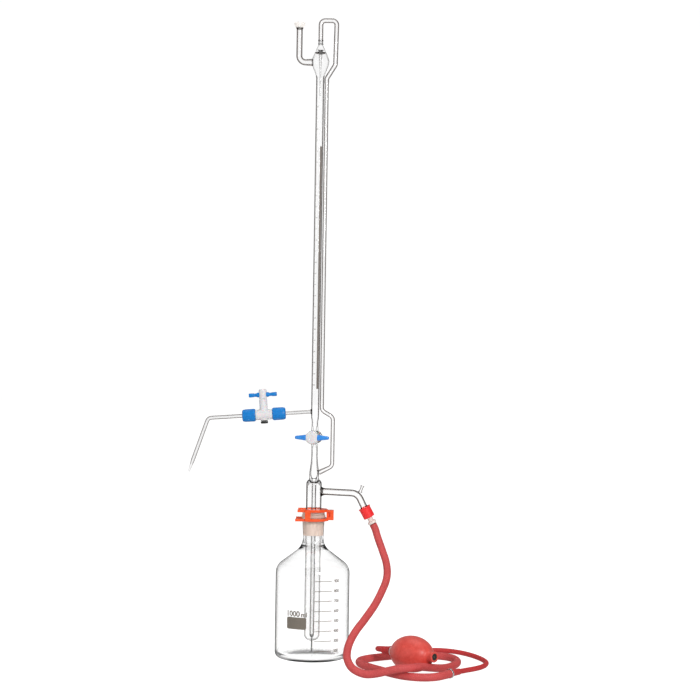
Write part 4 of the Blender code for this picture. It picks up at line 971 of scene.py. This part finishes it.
def upper_head():
    """Lower tube, burette, top bulb and filling jet: the glass from the stopcock up to the loop."""
    swell = []
    for i in range(17):
        share = i / 16
        rise = 0.5 + 0.5 * math.cos(math.pi * share)
        swell.append((BURETTE_RADIUS + 0.0066 * rise, 0.8180 - 0.0252 * share))
    outer = [(0.0033, 0.8438), (0.0033, 0.8400), (0.0109, 0.8225), *swell, (BURETTE_RADIUS, 0.3300)]
    outer += [(0.0054, 0.3267), (0.0044, 0.3217), (0.0044, 0.3164), (0.0050, 0.3084)]
    inner = [(0.0015, 0.3084), (0.0030, 0.3164), (0.0032, 0.3217), (0.00445, 0.3267), (0.00455, 0.3300)]
    inner += [(r - 0.00095, z) for r, z in reversed(swell)]
    inner += [(0.0098, 0.8222), (0.0072, 0.8292), (0.0052, 0.8297), (0.0030, 0.8288), (0.0024, 0.8262)]
    inner += [(0.0012, 0.8068), (0.0009, 0.7700), (0.0004, 0.7700), (0.0005, 0.8068), (0.0013, 0.8268)]
    inner += [(0.0026, 0.8316), (0.0048, 0.8322), (0.0060, 0.8322), (0.0022, 0.8396), (0.0022, 0.8438)]
    mesh = turned_mesh("head_upper_glass", soften(outer + inner, 0.0006, 3), 80)
    paint(mesh, 2, (TOP_BULB_FROM_Z, math.inf), (NEAR_AXIS, math.inf))
    paint(mesh, 1, JET_SEAM_Z, JET_SEAM_RADIUS)
    linked("head_upper_glass", mesh, "head", [BURETTE_GLASS, SEAM_GLASS, SWELL_GLASS],
           ("lower_tube", "burette_tube", "top_bulb", "filling_jet"))
    for i, z in enumerate((0.8464, 0.8415)):
        ring = arc((0.0034, z), 0.0004, 0.0, 330.0, 11)
        turned(f"neck_seam_{i + 1}", ring, "head", "glass", SEAM_GLASS, steps=40)


def filling_tubes():
    """The loop over the top, the long riser and the bypass round the drain stopcock, as one tube."""
    loop = rounded_path(
        [
            (0.0, 0.0, 0.8436), (0.0, 0.0, 0.8742), (0.0219, 0.0, 0.8742),
            (0.0207, 0.0, 0.8130), (FILLING_X, 0.0, 0.7940), (FILLING_X, 0.0, 0.7890),
        ],
        0.0060,
    )
    bypass = rounded_path(
        [
            (FILLING_X, 0.0, 0.3600), (FILLING_X, 0.0, 0.3365), (0.0245, 0.0, 0.3275),
            (0.0245, 0.0, 0.2600), (0.0064, 0.0, 0.2513),
        ],
        0.0075,
    )
    riser = [Vector((FILLING_X, 0.0, 0.7890 - 0.0033 * i)) for i in range(1, 130)]
    outer = [0.0032] * len(loop) + [0.0028] * len(riser + bypass)
    inner = [r - 0.0010 for r in outer]
    outer[-1] = 0.0036  # the fused root
    mesh = tube_mesh("filling_tube", loop + riser + bypass, outer, inner)
    covered = ("overflow_loop", "riser_tube", "bypass_tube")
    linked("filling_tube", mesh, "head", [TUBE_GLASS], covered)


VENT_MATT_FROM_Z = 0.8640
VENT_SEAM_Z = (0.8618, 0.8634)


def vent_tube():
    """The air vent of the top bulb: a bent tube with a flared, ground mouth."""
    mouth = [Vector((VENT_X, 0.0, z)) for z in (VENT_TOP_Z, 0.8698, 0.8680, 0.8662, 0.8650, 0.8636, 0.8620)]
    bend = rounded_path(
        [(VENT_X, 0.0, 0.8600), (VENT_X, 0.0, VENT_JOIN_Z), (-0.0109, 0.0, VENT_JOIN_Z)], 0.0137, 14
    )
    flare = [0.0076, 0.00775, 0.0074, 0.0064, 0.0056, 0.0052, 0.0043]
    outer = flare + [VENT_RADIUS] * len(bend)
    bore = [0.0066, 0.0064, 0.0060, 0.0048, 0.0038, 0.0032, 0.0031]
    inner = bore + [VENT_RADIUS - 0.0010] * len(bend)
    outer[-1] = 0.0050  # the fused root
    mesh = tube_mesh("vent_glass", mouth + bend, outer, inner, 48)
    paint(mesh, 1, (VENT_MATT_FROM_Z, math.inf))
    paint(mesh, 2, VENT_SEAM_Z)
    linked("vent_glass", mesh, "head", [TUBE_GLASS, MATT_RIM, SEAM_GLASS], ("vent_tube",))


THREAD_POINTS = 25
THREAD_CREST_POINTS = 8  # points from one crest to the next


def side_arm():
    """The air inlet bent down into its screw thread, and the small finger vent on the bend."""
    root = [Vector((x, 0.0, SIDE_ARM_Z)) for x in (0.0101, 0.0111, 0.0126, 0.0145)]
    bend = rounded_path(
        [(0.0165, 0.0, SIDE_ARM_Z), SIDE_ARM_CORNER, cap_point(-0.0015)], 0.0140, 16
    )
    thread = [cap_point(0.0008 + 0.0078 * i / (THREAD_POINTS - 1)) for i in range(THREAD_POINTS)]
    outer = [SIDE_ARM_RADIUS + flare for flare in (0.0026, 0.0015, 0.0007, 0.0002)]
    outer += [SIDE_ARM_RADIUS] * len(bend)
    outer += [0.0058 + 0.0004 * math.cos(2 * math.pi * i / THREAD_CREST_POINTS) for i in range(THREAD_POINTS)]
    inner = [SIDE_ARM_RADIUS - 0.0011] * len(root + bend) + [0.0046] * THREAD_POINTS
    mesh = tube_mesh("side_arm_glass", root + bend + thread, outer, inner, 48)
    linked("side_arm_glass", mesh, "head", [TUBE_GLASS], ("side_arm",))
    stub = [(0.0028, 0.0093), (0.0026, 0.0086), (0.0020, 0.0070), (0.0020, 0.0028), (0.0032, -0.0004)]
    stub += [(0.0012, -0.0004), (0.0012, 0.0070), (0.0016, 0.0093)]
    turned("finger_vent_glass", stub, "head", "glass", TUBE_GLASS, ("finger_vent",), (0.0004, 3),
           steps=40, place=axis_matrix(FINGER_VENT_ROOT, FINGER_VENT_DIRECTION))


TAPER_STEPS = 8
TAPER_SHARE = 0.0725  # of the tube's radius, lost at each step
TIP_TOP_Z = 0.2600


def outlet_glass():
    """The arm that carries the outlet stopcock, and the jet beyond it, drawn out to a tip."""
    path = [outlet_point(along) for along in (0.0050, 0.0058, 0.0068, 0.0085, 0.0300, 0.0640)]
    outer = [0.0042, 0.0034, 0.0028, OUTLET_RADIUS, OUTLET_RADIUS, OUTLET_RADIUS]
    mesh = tube_mesh("outlet_arm_glass", path, outer, [0.0014] * len(path))
    linked("outlet_arm_glass", mesh, "head", [ARM_GLASS], ("outlet_arm",))

    path = rounded_path([outlet_point(0.0766), outlet_point(JET_BEND_AT), JET_TAPER, JET_TIP], 0.0070, 12)
    path.pop()
    outer = [OUTLET_RADIUS] * len(path)
    drop = (Vector(JET_TIP) - Vector(JET_TAPER)) / TAPER_STEPS
    for i in range(1, TAPER_STEPS + 1):
        path.append(Vector(JET_TAPER) + drop * i)
        outer.append(OUTLET_RADIUS * (1 - TAPER_SHARE * i))
    mesh = tube_mesh("jet_glass", path, outer, [r - 0.0008 for r in outer])
    paint(mesh, 1, (0.0, TIP_TOP_Z))
    linked("jet_glass", mesh, "delivery_jet", [ARM_GLASS, TIP_GLASS], ("delivery_jet",))


# ---- the stopcocks ----
HANDLE_ROUNDNESS = 0.8  # 1 makes a handle's cross section an ellipse, and less makes it squarer


def arm_mesh(name, sections, place, sides=32):
    """A handle arm from (distance, half width, half height) sections, rounded in cross section."""
    verts = []
    for along, wide, high in sections:
        for i in range(sides):
            angle = 2 * math.pi * i / sides
            x = math.copysign(abs(math.cos(angle)) ** HANDLE_ROUNDNESS, math.cos(angle)) * wide
            y = math.copysign(abs(math.sin(angle)) ** HANDLE_ROUNDNESS, math.sin(angle)) * high
            verts.append(place @ Vector((x, y, along)))
    faces = ring_faces(len(sections), sides, False)
    return finish_mesh(name, verts, faces, 50.0)


def handle(stopcock, middle, rightward, sections, finish):
    """The two arms of a stopcock's handle, either side of its plug."""
    for side, direction in (("left", -rightward), ("right", rightward)):
        name = f"{stopcock}_arm_{side}"
        mesh = arm_mesh(name, sections, axis_matrix(middle, direction))
        linked(name, mesh, f"{stopcock}_plug", [finish], (f"{stopcock}_handle_{side}",))


def ribbing(count, depth, low, high, above):
    """Lengthwise ribs between two heights, on the parts of an outline wider than above."""
    def rib(angle, r, z):
        if r < above or not low <= z <= high:
            return 0.0
        return depth * (0.5 + 0.5 * math.cos(count * angle))
    return rib


def drain_stopcock():
    """Glass barrel, PTFE plug and its nut, and the pale blue handle, on an axis turned from the front."""
    axis = Vector((-math.sin(DRAIN_TURN), -math.cos(DRAIN_TURN), 0.0))
    center = Vector((0.0, 0.0, DRAIN_Z))
    place = axis_matrix(center, axis)
    barrel = [(0.0094, 0.0130), (0.0097, 0.0122), (0.0096, 0.0104), (0.0087, 0.0092), (0.0086, -0.0114)]
    barrel += [(0.0082, -0.0120), (0.0050, -0.0120), (0.0060, 0.0130)]
    turned("drain_barrel_glass", barrel, "head", "glass", SWELL_GLASS, ("drain_barrel",), (0.0004, 3),
           steps=72, place=place)

    plug = [(0.0, 0.0226), (0.0050, 0.0225), (0.0074, 0.0221), (0.0088, 0.0208), (0.0088, 0.0133)]
    plug += [(0.0057, 0.0133), (0.0047, -0.0120), (0.0030, -0.0120), (0.0030, -0.0210), (0.0, -0.0210)]
    turned("drain_plug_ptfe", plug, "drain_plug", "ptfe", PTFE, ("drain_plug",), (0.0006, 4),
           steps=72, place=place)

    nut = [(0.0060, -0.0157), (0.0060, -0.0205), (0.0033, -0.0205), (0.0033, -0.0157)]
    turned("drain_nut_ptfe", nut, "drain_nut", "ptfe", PTFE, ("drain_nut",), (0.0004, 3),
           steps=96, place=place, ribs=ribbing(16, 0.0003, -0.0203, -0.0159, 0.0055))

    sections = [(0.0070, 0.0, 0.0), (0.0070, 0.0040, 0.0040), (0.0092, 0.0040, 0.0040),
                (0.0140, 0.0033, 0.0033), (0.0200, 0.0026, 0.0026), (0.0226, 0.0022, 0.0022),
                (0.0235, 0.0015, 0.0015), (0.0238, 0.0, 0.0)]
    rightward = Vector((-axis.y, axis.x, 0.0))
    handle("drain", center + axis * 0.0178, rightward, sections, PALE_BLUE)


def outlet_stopcock():
    """PTFE body on the outlet arm, its upright plug with the blue handle, and the nut under the plug."""
    body = [(0.0, 0.0935), (0.0062, 0.0935), (0.0062, 0.0818), (0.0071, 0.0818), (0.0072, 0.0780),
            (0.0072, 0.0630), (0.0071, 0.0587), (0.0062, 0.0587), (0.0062, 0.0470), (0.0, 0.0470)]
    turned("outlet_body_ptfe", body, "outlet_stopcock", "ptfe", PTFE, ("outlet_body",), (0.0005, 4),
           steps=72, place=axis_matrix(outlet_point(0.0), outlet_direction()))

    place = axis_matrix(outlet_point(OUTLET_PLUG_AT), outlet_up())
    sleeve = [(0.0, 0.0210), (0.0055, 0.0210), (0.0055, 0.0090), (0.0062, 0.0070), (0.0062, 0.0),
              (0.0055, -0.0040), (0.0055, -0.0077), (0.0, -0.0077)]
    turned("outlet_sleeve_ptfe", sleeve, "outlet_stopcock", "ptfe", PTFE, soft=(0.0006, 4),
           steps=64, place=place)

    head = [(0.0, 0.0350), (0.0040, 0.0349), (0.0055, 0.0336), (0.0055, 0.0215), (0.0030, 0.0215),
            (0.0030, 0.0213), (0.0, 0.0213)]
    turned("outlet_plug_ptfe", head, "outlet_plug", "ptfe", PTFE, ("outlet_plug",), (0.0009, 4),
           steps=64, place=place)

    sections = [(0.0040, 0.0, 0.0), (0.0040, 0.0033, 0.0033), (0.0068, 0.0033, 0.0033),
                (0.0080, 0.0030, 0.0030), (0.0092, 0.0022, 0.0023), (0.0112, 0.0022, 0.0023),
                (0.0130, 0.0027, 0.0027), (0.0183, 0.0029, 0.0028), (0.0192, 0.0026, 0.0024),
                (0.0193, 0.0, 0.0)]
    handle("outlet", outlet_point(OUTLET_PLUG_AT, 0.0272), -outlet_direction(), sections, BLUE)

    nut = [(0.0052, -0.0095), (0.0050, -0.0112), (0.0044, -0.0123), (0.0027, -0.0123), (0.0027, -0.0095)]
    turned("outlet_plug_nut_black", nut, "outlet_plug_nut", "black_rubber", BLACK, ("outlet_plug_nut",),
           (0.0004, 3), steps=96, place=place, ribs=ribbing(18, -0.0003, -0.0121, -0.0097, 0.0048))


def tube_nuts():
    """The ribbed blue nuts that clamp the outlet arm and the jet, each open towards the body."""
    for side, closed_end, open_end in (("inner", 0.0406, 0.0584), ("outer", 0.0999, 0.0821)):
        inward = math.copysign(1.0, open_end - closed_end)
        shelf = closed_end + inward * 0.0024
        outline = [(0.0068, closed_end), (0.0080, closed_end + inward * 0.0010),
                   (0.0085, closed_end + inward * 0.0040), (0.0086, open_end - inward * 0.0015),
                   (0.0083, open_end), (0.0066, open_end), (0.0066, shelf), (NUT_BORE_RADIUS, shelf),
                   (NUT_BORE_RADIUS, closed_end)]
        low, high = sorted((closed_end, open_end))
        node_name = f"{side}_tube_nut"
        turned(f"{side}_nut_blue", outline, node_name, "blue_plastic", BLUE, (node_name,), (0.0005, 3),
               steps=144, place=axis_matrix(outlet_point(0.0), outlet_direction()),
               ribs=ribbing(24, 0.00016, low + 0.0012, high - 0.0012, 0.0078))


# ---- the air side ----
def cap_and_connector():
    """The ribbed red screw cap and the cream connector that it holds."""
    place = axis_matrix(CAP_ORIGIN, CAP_DIRECTION)
    cap = [(0.0071, 0.0), (0.0086, 0.0), (0.0086, 0.0012), (0.0079, 0.0018), (0.0079, 0.0148),
           (0.0073, 0.0154), (0.0041, 0.0154), (0.0041, 0.0142), (0.0071, 0.0142)]
    turned("cap_red", cap, "screw_cap", "red_plastic", RED, ("screw_cap",), (0.0003, 3),
           steps=168, place=place, ribs=ribbing(28, 0.00018, 0.0020, 0.0146, 0.0078))
    connector = [(0.0022, 0.0109), (0.0064, 0.0109), (0.0064, 0.0129), (0.0040, 0.0131), (0.0037, 0.0150),
                 (0.0037, 0.0200), (0.0044, 0.0210), (0.0060, 0.0216), (0.0061, 0.0248), (0.0052, 0.0250),
                 (0.0022, 0.0250)]
    turned("connector_cream", connector, "head", "cream_plastic", CREAM, ("hose_connector",), (0.0004, 3),
           steps=64, place=place)


# ---- the small pieces that keep their CAD shape ----
def dress_cad_nodes():
    finishes = {
        PTFE: ("drain_washer", "inner_ferrule", "outer_ferrule", "cap_washer"),
        BLACK: ("drain_oring", "outlet_washer", "inlet_valve", "outlet_valve"),
        SILICONE: ("cap_seal",),
        STEEL: ("inlet_ball", "outlet_ball"),
    }
    for finish, names in finishes.items():
        for name in names:
            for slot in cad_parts[name].material_slots:
                slot.material = finish


studio()
floor()
pressure_hose()
bulb_tube()
bottle()
bottle_marks()
clip()
lower_head()
upper_head()
burette_marks()
filling_tubes()
vent_tube()
side_arm()
outlet_glass()
drain_stopcock()
outlet_stopcock()
tube_nuts()
cap_and_connector()
dress_cad_nodes()
